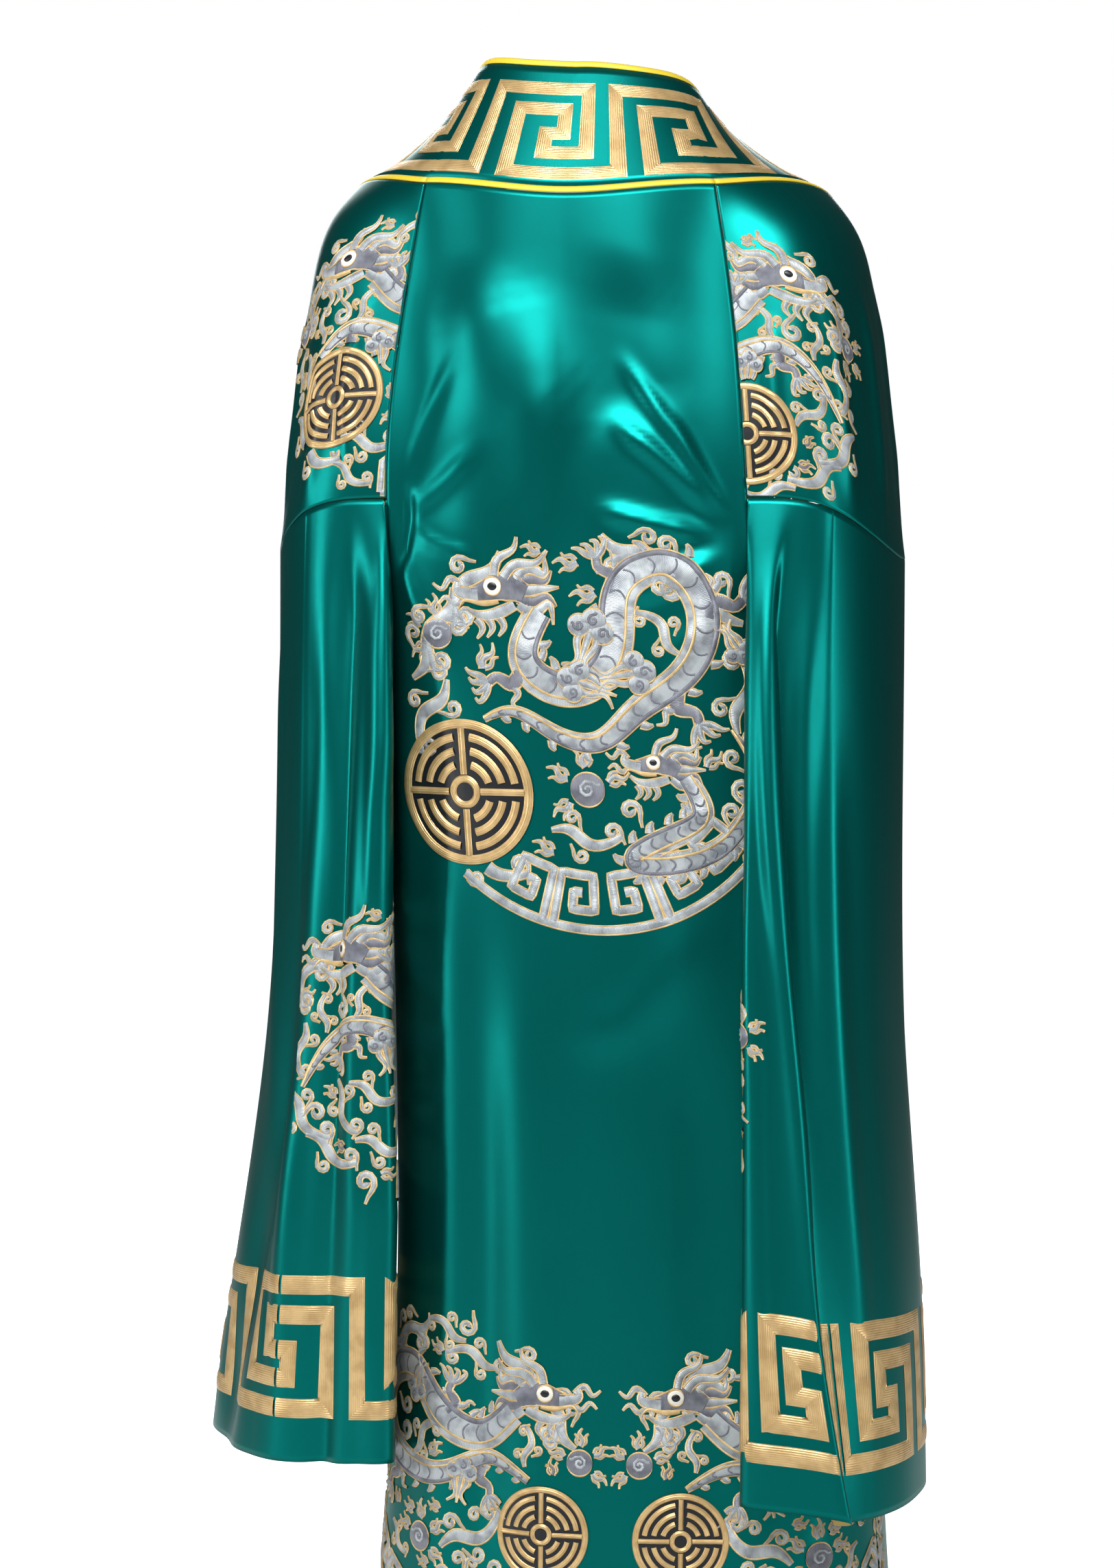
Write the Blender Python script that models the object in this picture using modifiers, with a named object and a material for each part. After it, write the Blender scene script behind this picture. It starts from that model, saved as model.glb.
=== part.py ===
"""A floor-length satin kimono robe, held in the form it has when it is worn.

Metres, +Z up. The wearer would face -Y, so the back of the robe faces +Y and the left sleeve
hangs at +X. The origin lies between the shoulders, at the height of the collar's lower edge.
Every piece is a cloth wall: an open grid laid on a surface, given its thickness by Solidify.
"""
import bmesh
import bpy
import numpy as np

# Thicknesses and seams
WALL = 0.0012
BAND_WALL = 0.0020
PIPING_WALL = 0.0026
SEAM = 0.0003
COLLAR_SEAM = 0.0009
ELBOW_SEAM = 0.0006
ARMPIT_SEAM = 0.0012
SIDE_SEAM = 0.0007
FORK_CLEARANCE = 0.0022
FORK_SOFTNESS = 0.0008

# Heights
ARMPIT = -0.289
HEM = -1.490
FRONT_TIP = -0.200
NECK_BACK = -0.0115
NECK_SEAM = -0.0010

# Widths
PIPING_WIDTH = 0.0055
LINING_HEIGHT = 0.060
LINING_GAP = 0.0009
LINING_SET_UP = 0.004
FRONT_GAP = 0.008

# The skirt sways to the wearer's right as it falls
SWAY = -0.048
SWAY_FROM = -0.20
SWAY_OVER = 0.90

# The shoulders tilt a little, the left one higher
TILT = 0.025
TILT_FADE = 0.25

# Body sections, half of each, from the centre back to the front edge. Columns: height, back y,
# seam x and y, side x and y, band edge x and y, front y
BODY_ROWS = (
    (0.020, 0.114, 0.132, 0.092, 0.200, 0.010, 0.200, -0.080, -0.110),
    (-0.150, 0.126, 0.158, 0.111, 0.196, 0.005, 0.183, -0.092, -0.128),
    (ARMPIT, 0.131, 0.168, 0.120, 0.190, 0.000, 0.158, -0.104, -0.136),
    (-0.380, 0.133, 0.170, 0.106, 0.190, 0.000, 0.152, -0.108, -0.140),
    (-0.520, 0.136, 0.174, 0.094, 0.198, 0.000, 0.150, -0.112, -0.144),
    (-0.900, 0.148, 0.190, 0.096, 0.219, 0.000, 0.151, -0.121, -0.156),
    (-1.180, 0.160, 0.202, 0.102, 0.231, 0.000, 0.154, -0.134, -0.170),
    (-1.300, 0.167, 0.209, 0.106, 0.239, 0.000, 0.157, -0.141, -0.178),
    (HEM, 0.180, 0.222, 0.112, 0.256, 0.000, 0.160, -0.152, -0.190),
)
MID_BACK_SHARE = 0.52
MID_BACK_DROP = 0.20
TIP_SHARE = 0.30
TIP_GAP = 0.025
BAND_GAP = 0.02
SPLIT_MOVE = 0.55
SPLIT_OVER = 0.50
BLEND_BELOW = 0.10

# Upper sleeve, three lines from the collar to the elbow seam. Columns: share of the fall, then
# x, y and z of the back-outer, the outermost and the front-outer line
SHOULDER_ROWS = (
    (0.00, 0.188, 0.052, 0.006, 0.228, -0.010, -0.004, 0.218, -0.068, -0.072),
    (0.15, 0.212, 0.075, -0.030, 0.252, -0.008, -0.038, 0.234, -0.074, -0.100),
    (0.35, 0.228, 0.090, -0.088, 0.2675, -0.003, -0.100, 0.245, -0.082, -0.142),
    (0.65, 0.240, 0.100, -0.190, 0.281, 0.000, -0.215, 0.254, -0.090, -0.222),
    (1.00, 0.250, 0.106, -0.302, 0.297, 0.004, -0.345, 0.263, -0.098, -0.312),
)

# Lower sleeves: plan points of each section from the elbow seam to the cuff. The cloth runs from
# the inner back edge to the fold, turns back under it, then goes round the outside to the front.
# Columns: share of the drop, then x and y of the edge, the fold, the under-fold, the back, the
# outermost, the front and the inner point
SLEEVE_ROWS = {
    "left": (
        (0.22, 0.161, 0.138, 0.192, 0.140, 0.222, 0.134, 0.252, 0.119,
         0.299, 0.016, 0.270, -0.095, 0.214, -0.112),
        (0.56, 0.160, 0.150, 0.195, 0.152, 0.230, 0.145, 0.264, 0.126,
         0.318, 0.018, 0.288, -0.100, 0.218, -0.118),
        (0.82, 0.160, 0.155, 0.202, 0.158, 0.244, 0.150, 0.284, 0.130,
         0.354, 0.018, 0.316, -0.108, 0.230, -0.124),
        (1.00, 0.160, 0.158, 0.206, 0.161, 0.252, 0.154, 0.298, 0.135,
         0.377, 0.018, 0.334, -0.112, 0.240, -0.128),
    ),
    "right": (
        (0.22, 0.176, 0.146, 0.196, 0.149, 0.188, 0.134, 0.254, 0.122,
         0.301, 0.016, 0.272, -0.084, 0.226, -0.098),
        (0.56, 0.175, 0.168, 0.226, 0.171, 0.206, 0.151, 0.268, 0.134,
         0.308, 0.018, 0.288, -0.082, 0.252, -0.096),
        (0.82, 0.174, 0.184, 0.253, 0.186, 0.227, 0.164, 0.288, 0.132,
         0.324, 0.020, 0.306, -0.080, 0.274, -0.092),
        (1.00, 0.173, 0.196, 0.285, 0.193, 0.254, 0.171, 0.300, 0.132,
         0.328, 0.022, 0.312, -0.080, 0.282, -0.092),
    ),
}
CUFF_HEIGHT = {"left": (-1.180, -1.185), "right": (-1.194, -1.214)}
SLEEVE_KNOTS = 10
NEAR_EDGE_SHARE = 0.45
NEAR_EDGE_PUFF = 0.004
INNER_WALL_SHARES = (0.36, 0.70)
ROUNDING = 0.36
FRONT_SEAM_STATION = 7.0
UPPER_KNOTS = ((0.0, 0.0), (1.0, 0.2), (2.0, 0.4), (3.0, 0.6), (4.0, 1.0), (7.0, 4.0))

# Soft folds of the lower sleeves. Columns: station at the top and at the cuff, half width and
# depth in metres, and where down the sleeve each starts and is full
FOLD_ROWS = {
    "left": (
        (2.10, 2.40, 0.013, 0.009, 0.00, 0.12),
        (2.90, 4.60, 0.022, 0.010, 0.02, 0.35),
        (5.60, 5.70, 0.030, 0.015, 0.15, 0.80),
        (6.60, 6.60, 0.026, 0.012, 0.20, 0.90),
    ),
    "right": (
        (5.30, 5.40, 0.026, 0.007, 0.05, 0.70),
    ),
}

# The collar's inner edge, by station: 0 centre back, 2 sleeve seam, 6 front of the shoulder.
# Columns: station, x, y, z
FRONT_CLOSED = 7.86
HEM_STATION = 14.0
NECK_ROWS = (
    (0.0, 0.000, 0.060, 0.113),
    (1.0, 0.048, 0.055, 0.116),
    (2.0, 0.086, 0.036, 0.119),
    (3.0, 0.104, 0.003, 0.106),
    (4.0, 0.106, -0.040, 0.062),
    (5.0, 0.092, -0.082, -0.012),
    (6.0, 0.062, -0.116, -0.120),
    (6.55, 0.041, -0.130, -0.212),
    (7.24, 0.016, -0.139, -0.360),
    (FRONT_CLOSED, FRONT_GAP, -0.1435, -0.500),
)
BAND_BULGE = ((0.0, 0.000), (2.0, -0.002), (3.0, -0.006), (4.0, -0.002), (6.0, 0.006),
              (FRONT_CLOSED, 0.006), (HEM_STATION, 0.006))
RIGHT_NECK_DROP = 0.015
NECK_DROP_GROWS = 2.4
NECK_DROP_FADES = (4.0, 6.0)

# Grid sizes
BACK_COLUMNS_HALF = 9
ROWS_ABOVE = 6
ROWS_BELOW = 13
FRONT_COLUMNS = 7
SLEEVE_BACK_COLUMNS = 20
SLEEVE_FRONT_COLUMNS = 7
SLEEVE_INNER_COLUMNS = 10
LOWER_ROWS = 12
BAND_ROWS = 3
CLEAR_SAMPLES = 96
SECTION_SAMPLES = 400
SOFTNESS = 0.004
MERGE_DISTANCE = 0.00001
TANGENT_REACH = 0.001
TANGENT_STATIONS = 0.01
SLEEVE_CLEARANCE = {"left": 0.003, "right": 0.005}

# Finishes: base colour, roughness, metallic
FINISHES = {
    "green_satin": ((0.000, 0.150, 0.125), 0.35, 0.30),
    "yellow_piping": ((0.760, 0.600, 0.030), 0.50, 0.00),
    "pale_lining": ((0.620, 0.420, 0.120), 0.55, 0.00),
}


def clear_scene():
    """Remove what the file holds, so that the script can be run again."""
    for item in list(bpy.data.objects):
        bpy.data.objects.remove(item, do_unlink=True)


def smooth(share):
    """Ease from 0 to 1."""
    share = np.clip(share, 0.0, 1.0)
    return share * share * (3.0 - 2.0 * share)


def spline_weights(knots, at):
    """Weights of a natural cubic spline's knots at the given places."""
    knots = np.asarray(knots, float)
    at = np.atleast_1d(np.asarray(at, float))
    count = len(knots)
    values = np.eye(count)
    step = np.diff(knots)
    system = np.eye(count)
    rest = np.zeros((count, count))
    for i in range(1, count - 1):
        system[i, i - 1:i + 2] = step[i - 1], 2.0 * (step[i - 1] + step[i]), step[i]
        rest[i] = 6.0 * ((values[i + 1] - values[i]) / step[i]
                         - (values[i] - values[i - 1]) / step[i - 1])
    bend = np.linalg.solve(system, rest)
    j = np.clip(np.searchsorted(knots, at, side="right") - 1, 0, count - 2)
    width = step[j][:, None]
    low = (knots[j + 1] - at)[:, None] / width
    high = (at - knots[j])[:, None] / width
    curved = (low ** 3 - low) * bend[j] + (high ** 3 - high) * bend[j + 1]
    return low * values[j] + high * values[j + 1] + curved * width ** 2 / 6.0


def spline(knots, values, at):
    """A natural cubic spline through values, read at the given places."""
    return spline_weights(knots, at) @ np.asarray(values, float)


def mirrored(points):
    """A point of each row on the other side of the centre line."""
    return points * np.array([-1.0, 1.0])


def body_controls():
    """Plan control points of the body, by height, with ghosts past both centre lines."""
    rows = []
    for _, back, seam_x, seam_y, side_x, side_y, band_x, band_y, front in BODY_ROWS:
        mid = (seam_x * MID_BACK_SHARE, back - MID_BACK_DROP * (back - seam_y))
        half = np.array([(0.0, back), mid, (seam_x, seam_y), (side_x, side_y),
                         (band_x, band_y), (0.0, front)])
        rows.append(np.vstack([mirrored(half[2:0:-1]), half, mirrored(half[4:2:-1])]))
    return np.array(rows)


BODY_CONTROLS = body_controls()
BODY_HEIGHTS = [row[0] for row in BODY_ROWS]
BODY_STATIONS = np.arange(-2.0, 8.0)
SIDE_INDEX = 5


def sway(height):
    """Sideways shift of the body's centre line at a height."""
    return SWAY * smooth((SWAY_FROM - np.asarray(height, float)) / SWAY_OVER)


def tilted(points):
    """Raise the left shoulder and lower the right one, fading out below."""
    points = np.array(points, float)
    fade = np.clip(1.0 + np.minimum(points[:, 2], 0.0) / TILT_FADE, 0.0, 1.0)
    points[:, 2] += TILT * points[:, 0] * fade
    return points


def back_outer_plan(height):
    """Plan places of the upper sleeve's back-outer line, which the back runs on towards."""
    table = np.array(SHOULDER_ROWS)
    fall = np.clip(height / ARMPIT, 0.0, 1.0)
    return spline(table[:, 0], table[:, 1:3], fall)


def body(station, height, side):
    """Points of the body's surface: station 0 centre back, 2 seam, 4 band edge, 5 front."""
    station = np.atleast_1d(np.asarray(station, float))
    height = np.broadcast_to(np.asarray(height, float), station.shape)
    order = np.argsort(BODY_HEIGHTS)
    across = spline_weights(BODY_STATIONS, station)
    down = spline_weights(np.array(BODY_HEIGHTS)[order], height)
    controls = np.einsum("nj,jic->nic", down, BODY_CONTROLS[order])
    shoulders = smooth((height - ARMPIT) / BLEND_BELOW + 1.0) * (station <= 2.0)
    towards = back_outer_plan(height) - controls[:, SIDE_INDEX]
    controls[:, SIDE_INDEX] += shoulders[:, None] * towards
    plan = np.einsum("ni,nic->nc", across, controls)
    return np.column_stack([side * plan[:, 0] + sway(height), plan[:, 1], height])


def split_station(height):
    """Station of the side seam, which moves from the armpit round to the side."""
    return 2.0 + SPLIT_MOVE * smooth((ARMPIT - height) / SPLIT_OVER)


def neck_height(station):
    """Height of the collar's lower edge across the back."""
    return NECK_BACK + (NECK_SEAM - NECK_BACK) * smooth(np.asarray(station) / 2.0)


def shoulder(station, fall, side):
    """Points of the upper sleeve: station 0 back seam, 2 outermost, 4 front seam; fall 0 to 1."""
    fall = np.broadcast_to(np.asarray(fall, float), np.shape(station))
    table = np.array(SHOULDER_ROWS)
    lines = spline(table[:, 0], table[:, 1:], fall).reshape(-1, 3, 3)
    lines[:, :, 0] *= side
    seam_height = neck_height(2.0) + (ARMPIT - neck_height(2.0)) * fall
    front_seam = FRONT_TIP + (ARMPIT - FRONT_TIP) * fall
    controls = np.stack([
        body(np.full(fall.shape, 1.0), seam_height, side),
        body(np.full(fall.shape, 2.0), seam_height, side),
        lines[:, 0], lines[:, 1], lines[:, 2],
        body(4.0 - TIP_SHARE * fall, front_seam, side),
        body(np.full(fall.shape, 5.0), front_seam, side)], axis=1)
    across = spline_weights(np.arange(-1.0, 6.0), station)
    return np.einsum("ni,nic->nc", across, controls)


def body_radius(height, angle, side):
    """Distance of the body's surface from its axis at a height and an angle."""
    stations = np.linspace(0.0, 5.0, CLEAR_SAMPLES)
    ring = body(stations, np.full(stations.shape, height), side)
    along = ring[:, 0] - sway(height)
    angles = np.arctan2(np.maximum(side * along, 0.0), ring[:, 1])
    return np.interp(angle, angles, np.hypot(along, ring[:, 1]))


def clear_of_body(points, side, margin, softness=SOFTNESS):
    """Push points out from the body's axis until they clear its surface."""
    moved = np.array(points, float)
    for point in moved:
        across = point[0] - float(sway(point[2]))
        radius = np.hypot(across, point[1])
        angle = np.arctan2(side * across, point[1])
        least = body_radius(point[2], angle, side) + margin
        spare = (radius - least) / softness
        wanted = least + softness * np.logaddexp(0.0, spare)
        scale = wanted / radius
        point[0] += across * (scale - 1.0)
        point[1] *= scale
    return moved


def sleeve_stations():
    """Stations round the lower sleeve, from its inner back edge out to the front and back."""
    return np.concatenate([
        np.linspace(0.0, 4.0, SLEEVE_BACK_COLUMNS + 1)[:-1],
        np.linspace(4.0, FRONT_SEAM_STATION, SLEEVE_FRONT_COLUMNS + 1)[:-1],
        np.linspace(FRONT_SEAM_STATION, SLEEVE_KNOTS, SLEEVE_INNER_COLUMNS + 1)])


def upper_station(station):
    """The upper sleeve's station that a lower sleeve's station meets."""
    return np.interp(station, *np.array(UPPER_KNOTS).T)


def shoulder_stations():
    """Stations of the upper sleeve's columns, the ones that the lower sleeve meets."""
    stations = sleeve_stations()
    return upper_station(stations[stations <= FRONT_SEAM_STATION])


def elbow_ring(station, side):
    """The lower sleeve's top edge: the elbow seam outside, the armpit line inside."""
    station = np.asarray(station, float)
    outer = shoulder(upper_station(np.minimum(station, FRONT_SEAM_STATION)), 1.0, side)
    inner_run = SLEEVE_KNOTS - FRONT_SEAM_STATION
    share = np.clip((station - FRONT_SEAM_STATION) / inner_run, 0.0, 1.0)
    armpit_front = 4.0 - TIP_SHARE
    inner = body(armpit_front + (2.0 - armpit_front) * share, ARMPIT, side)
    return np.where((station <= FRONT_SEAM_STATION)[:, None], outer, inner)


def sleeve_controls(hand, side):
    """Plan control points of the lower sleeve's sections, the top one from the elbow seam."""
    first = elbow_ring(np.arange(float(SLEEVE_KNOTS)), side)[:, :2] * np.array([side, 1.0])
    sections = [first]
    for row in SLEEVE_ROWS[hand]:
        edge, fold, under, back, out, front, inner = np.reshape(row[1:], (-1, 2))
        near = edge + NEAR_EDGE_SHARE * (fold - edge) + np.array([0.0, NEAR_EDGE_PUFF])
        wall = [inner + share * (edge - inner) for share in INNER_WALL_SHARES]
        sections.append(np.array([edge, near, fold, under, back, out, front, inner, *wall]))
    return np.array(sections)


def sleeve_plain(station, drop, hand, side):
    """One section of the lower sleeve before its folds."""
    station = np.mod(np.asarray(station, float), SLEEVE_KNOTS)
    controls = sleeve_controls(hand, side)
    wrapped = np.concatenate([controls[:, -3:], controls, controls[:, :4]], axis=1)
    knots = np.arange(-3.0, SLEEVE_KNOTS + 4.0)
    across = (spline_weights(knots, station - ROUNDING) + spline_weights(knots, station)
              + spline_weights(knots, station + ROUNDING)) / 3.0
    drops = [0.0] + [row[0] for row in SLEEVE_ROWS[hand]]
    down = spline_weights(drops, drop)[0]
    plan = across @ np.einsum("j,jic->ic", down, wrapped)
    top = elbow_ring(station, side)
    settle = (1.0 - drop) ** 3
    plan += settle * (top[:, :2] * np.array([side, 1.0]) - across @ wrapped[0])
    near, far = CUFF_HEIGHT[hand]
    outside = np.clip(station / FRONT_SEAM_STATION, 0.0, 1.0)
    cuff = near + (far - near) * np.sin(np.pi * outside) ** 2
    height = top[:, 2] + (cuff - top[:, 2]) * drop
    return np.column_stack([side * plan[:, 0], plan[:, 1], height])


def sleeve(station, drop, hand, side):
    """One section of the lower sleeve with its soft folds, clear of the body."""
    fine = np.linspace(0.0, SLEEVE_KNOTS, SECTION_SAMPLES + 1)
    ring = sleeve_plain(fine, drop, hand, side)[:, :2]
    steps = np.hypot(*np.diff(ring, axis=0).T)
    arc = np.concatenate([[0.0], np.cumsum(steps)])
    here = np.interp(station, fine, arc)
    inward = np.zeros(np.shape(station))
    for top, cuff, half_width, depth, start, full in FOLD_ROWS[hand]:
        centre = np.interp(top + (cuff - top) * drop, fine, arc)
        grown = smooth((drop - start) / (full - start))
        inward += grown * depth * np.exp(-((here - centre) / half_width) ** 2)
    plain = sleeve_plain(station, drop, hand, side)
    ahead = np.column_stack([np.interp(here + TANGENT_REACH, arc, ring[:, k])
                             - np.interp(here - TANGENT_REACH, arc, ring[:, k])
                             for k in (0, 1)])
    tangent = ahead / np.hypot(*ahead.T)[:, None]
    outward = np.column_stack([-tangent[:, 1], tangent[:, 0]]) * side
    plain[:, :2] -= outward * inward[:, None]
    return clear_of_body(plain, side, SLEEVE_CLEARANCE[hand])


def front_height(station):
    """Height of the band's outer edge down the front, by station."""
    share = (np.maximum(station, 6.0) - 6.0) / (HEM_STATION - 6.0)
    return FRONT_TIP + (HEM - FRONT_TIP) * share


def outer_edge(station, side):
    """The collar's outer edge: across the back, over the shoulder and down the front."""
    station = np.asarray(station, float)
    back = body(np.minimum(station, 2.0), neck_height(np.minimum(station, 2.0)), side)
    over = shoulder(np.clip(station - 2.0, 0.0, 4.0), 0.0, side)
    front = body(np.full(station.shape, 4.0), front_height(station), side)
    chosen = np.where((station <= 2.0)[:, None], back, over)
    return tilted(np.where((station > 6.0)[:, None], front, chosen))


def inner_edge(station, side):
    """The collar's inner edge, at the neck and down the front opening."""
    station = np.asarray(station, float)
    table = np.array(NECK_ROWS)
    neck = spline(table[:, 0], table[:, 1:], np.clip(station, 0.0, FRONT_CLOSED))
    if side < 0.0:
        start, end = NECK_DROP_FADES
        kept = 1.0 - smooth((station - start) / (end - start))
        lowered = smooth(station / NECK_DROP_GROWS) * kept
        neck[:, 2] -= RIGHT_NECK_DROP * lowered
    neck[:, 0] = side * neck[:, 0] + sway(neck[:, 2])
    front = body(np.full(station.shape, 5.0), front_height(station), side)
    front[:, 0] += side * FRONT_GAP
    return tilted(np.where((station > FRONT_CLOSED)[:, None], front, neck))


def collar(station, across, side):
    """Points of the collar between its outer edge (across 0) and its inner edge (across 1)."""
    low, high = outer_edge(station, side), inner_edge(station, side)
    point = low + (high - low) * np.reshape(across, (-1, 1))
    ahead = (outer_edge(station + TANGENT_STATIONS, side)
             - outer_edge(station - TANGENT_STATIONS, side))
    facing = np.cross(high - low, ahead) * side
    facing /= np.linalg.norm(facing, axis=1)[:, None]
    rise = np.interp(station, *np.array(BAND_BULGE).T) * np.sin(np.pi * across)
    return point + facing * rise[:, None]


def finish_material(name):
    """A plain Principled material with the piece's colour."""
    colour, roughness, metallic = FINISHES[name]
    material = bpy.data.materials.get(name) or bpy.data.materials.new(name)
    material.use_nodes = True
    shader = material.node_tree.nodes["Principled BSDF"]
    shader.inputs["Base Color"].default_value = (*colour, 1.0)
    shader.inputs["Roughness"].default_value = roughness
    shader.inputs["Metallic"].default_value = metallic
    material.diffuse_color = (*colour, 1.0)
    return material


def cloth(name, points, wall, finish, collection, flip=False, closed=False):
    """Lay a grid on points[row, column] and give it its wall, thickened to the inside."""
    rows, columns = points.shape[0] - 1, points.shape[1] - 1
    grid = bmesh.new()
    bmesh.ops.create_grid(grid, x_segments=columns, y_segments=rows, size=0.5)
    for vertex in grid.verts:
        column = round((vertex.co.x + 0.5) * columns)
        row = round((vertex.co.y + 0.5) * rows)
        vertex.co = points[row, column]
    if closed:
        bmesh.ops.remove_doubles(grid, verts=grid.verts, dist=MERGE_DISTANCE)
    if not flip:
        bmesh.ops.reverse_faces(grid, faces=grid.faces)
    mesh = bpy.data.meshes.new(name)
    grid.to_mesh(mesh)
    grid.free()
    mesh.shade_smooth()
    mesh.materials.append(finish_material(finish))
    item = bpy.data.objects.new(name, mesh)
    collection.objects.link(item)
    thick = item.modifiers.new("wall", "SOLIDIFY")
    thick.thickness = wall
    thick.offset = 0.0
    thick.use_even_offset = True
    thick.use_quality_normals = True
    return item


def even_shares(count):
    """Shares from 0 to 1 in even steps."""
    return np.linspace(0.0, 1.0, count + 1)


def trimmed(points, side_start=0.0, side_end=0.0, top=0.0, bottom=0.0):
    """Pull a grid's edges in by seam gaps, along the grid's own lines."""
    points = points.copy()
    for index, beyond, gap in ((0, 1, side_start), (-1, -2, side_end)):
        step = points[:, beyond] - points[:, index]
        points[:, index] += step * gap / np.linalg.norm(step, axis=1)[:, None]
    for index, beyond, gap in ((0, 1, top), (-1, -2, bottom)):
        step = points[beyond] - points[index]
        points[index] += step * gap / np.linalg.norm(step, axis=1)[:, None]
    return points


def make_back(collection):
    """The back panel, one piece from the collar to the hem."""
    stations = np.linspace(-2.0, 2.0, 2 * BACK_COLUMNS_HALF + 1)
    top = neck_height(np.abs(stations))
    rows = []
    for share in even_shares(ROWS_ABOVE)[:-1]:
        rows.append(top + (ARMPIT - top) * share)
    for share in even_shares(ROWS_BELOW):
        rows.append(np.full(stations.shape, ARMPIT + (HEM - ARMPIT) * share))
    grid = []
    for height in rows:
        spread = np.abs(stations) * split_station(height) / 2.0
        left = body(spread, height, 1.0)
        right = body(spread, height, -1.0)
        grid.append(tilted(np.where((stations > 0.0)[:, None], left, right)))
    grid = trimmed(np.array(grid), SEAM / 2, SEAM / 2, COLLAR_SEAM)
    return cloth("back", grid, WALL, "green_satin", collection)


def make_front(hand, side, collection):
    """A front panel, from the side seam to the band, with its tip beside the band."""
    stations = np.concatenate([np.linspace(2.0, 4.0 - TIP_SHARE, FRONT_COLUMNS + 1)[:-1],
                               np.linspace(4.0 - TIP_SHARE, 4.0 - BAND_GAP, ROWS_ABOVE + 1)])
    tip = np.clip((stations - TIP_GAP - 4.0) / TIP_SHARE + 1.0, 0.0, 1.0)
    top = ARMPIT + (FRONT_TIP - ARMPIT) * tip
    grid = []
    for share in even_shares(ROWS_BELOW):
        height = top + (HEM - top) * share
        split = split_station(np.minimum(height, ARMPIT))
        spread = 4.0 - (4.0 - stations) * (4.0 - split) / 2.0
        grid.append(tilted(body(spread, height, side)))
    grid = trimmed(np.array(grid), SIDE_SEAM, 0.0, ARMPIT_SEAM)
    return cloth("front_" + hand, grid, WALL, "green_satin", collection, flip=side < 0)


def make_upper_sleeve(hand, side, collection):
    """The shoulder piece, from the collar to the elbow seam."""
    stations = shoulder_stations()
    grid = [tilted(shoulder(stations, np.full(stations.shape, fall), side))
            for fall in even_shares(ROWS_ABOVE)]
    grid = trimmed(np.array(grid), SEAM / 2, SEAM, COLLAR_SEAM, ELBOW_SEAM / 2)
    return cloth("sleeve_upper_" + hand, grid, WALL, "green_satin", collection, flip=side < 0)


def lower_sleeve_grid(hand, side):
    """The lower sleeve's grid, from the elbow seam to the cuff."""
    stations = sleeve_stations()
    grid = []
    for share in even_shares(LOWER_ROWS):
        points = sleeve(stations, share, hand, side)
        if share == 0.0:
            seam = elbow_ring(stations, side)
            points = clear_of_body(seam, side, FORK_CLEARANCE, FORK_SOFTNESS)
            points[:, 2] -= np.linalg.norm(points - seam, axis=1)
        grid.append(tilted(points))
    grid = np.array(grid)
    grid[:, -1] = grid[:, 0]
    return grid


def set_in(ring, distance, side):
    """A closed ring of points moved inward in plan, with its walls kept parallel."""
    ring = ring[:-1]
    ahead = np.roll(ring, -1, axis=0)[:, :2] - ring[:, :2]
    inward = np.column_stack([ahead[:, 1], -ahead[:, 0]]) * side
    inward /= np.hypot(*ahead.T)[:, None]
    before = np.roll(inward, 1, axis=0)
    mitre = (inward + before) / (1.0 + np.sum(inward * before, axis=1))[:, None]
    moved = ring.copy()
    moved[:, :2] += mitre * distance
    return np.vstack([moved, moved[:1]])


def make_lower_sleeve(hand, side, collection):
    """The wide hanging sleeve, closed round, and the lining inside its cuff."""
    grid = trimmed(lower_sleeve_grid(hand, side), top=ELBOW_SEAM / 2)
    cloth("sleeve_lower_" + hand, grid, WALL, "green_satin", collection,
          flip=side < 0, closed=True)
    above, cuff = (set_in(grid[row], WALL + LINING_GAP, side) for row in (-2, -1))
    row_height = np.mean(above[:, 2] - cuff[:, 2])
    shares = np.array([LINING_SET_UP + LINING_HEIGHT, LINING_SET_UP]) / row_height
    lining = np.array([cuff + (above - cuff) * share for share in shares])
    cloth("cuff_lining_" + hand, lining, WALL, "pale_lining", collection,
          flip=side < 0, closed=True)


def make_collar(collection):
    """The band round the neck and down the fronts, with its piping on both edges."""
    half = np.concatenate([
        np.linspace(0.0, 2.0, BACK_COLUMNS_HALF + 1)[:-1], 2.0 + shoulder_stations()[:-1],
        np.linspace(6.0, HEM_STATION, ROWS_BELOW + 1)])
    width = np.linalg.norm(outer_edge(half, 1.0) - inner_edge(half, 1.0), axis=1)
    edge = PIPING_WIDTH / width
    gap = SEAM / width

    def strip(low, high, rows, stations_used, side):
        chosen = np.isin(half, stations_used)
        grid = []
        for share in even_shares(rows):
            across = (high + (low - high) * share)[chosen]
            grid.append(collar(half[chosen], across, side))
        return np.array(grid)

    def both(low, high, rows):
        left = strip(low, high, rows, half, 1.0)
        right = strip(low, high, rows, half, -1.0)
        return np.concatenate([right[:, :0:-1], left], axis=1)

    cloth("collar_band", both(edge + gap, 1.0 - edge - gap, BAND_ROWS), BAND_WALL,
          "green_satin", collection)
    cloth("piping_neck", both(1.0 - edge, np.ones(half.shape), 1), PIPING_WALL,
          "yellow_piping", collection)
    none = np.zeros(half.shape)
    across_back = strip(none, edge, 1, half[half <= 2.0], 1.0)
    other_back = strip(none, edge, 1, half[half <= 2.0], -1.0)
    whole_back = np.concatenate([other_back[:, :0:-1], across_back], axis=1)
    cloth("piping_back", trimmed(whole_back, SEAM / 2, SEAM / 2), PIPING_WALL,
          "yellow_piping", collection)
    for hand, side in (("left", 1.0), ("right", -1.0)):
        front = strip(none, edge, 1, half[half >= 2.0], side)
        cloth("piping_" + hand, trimmed(front, SEAM / 2), PIPING_WALL, "yellow_piping",
              collection, flip=side < 0)


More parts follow.
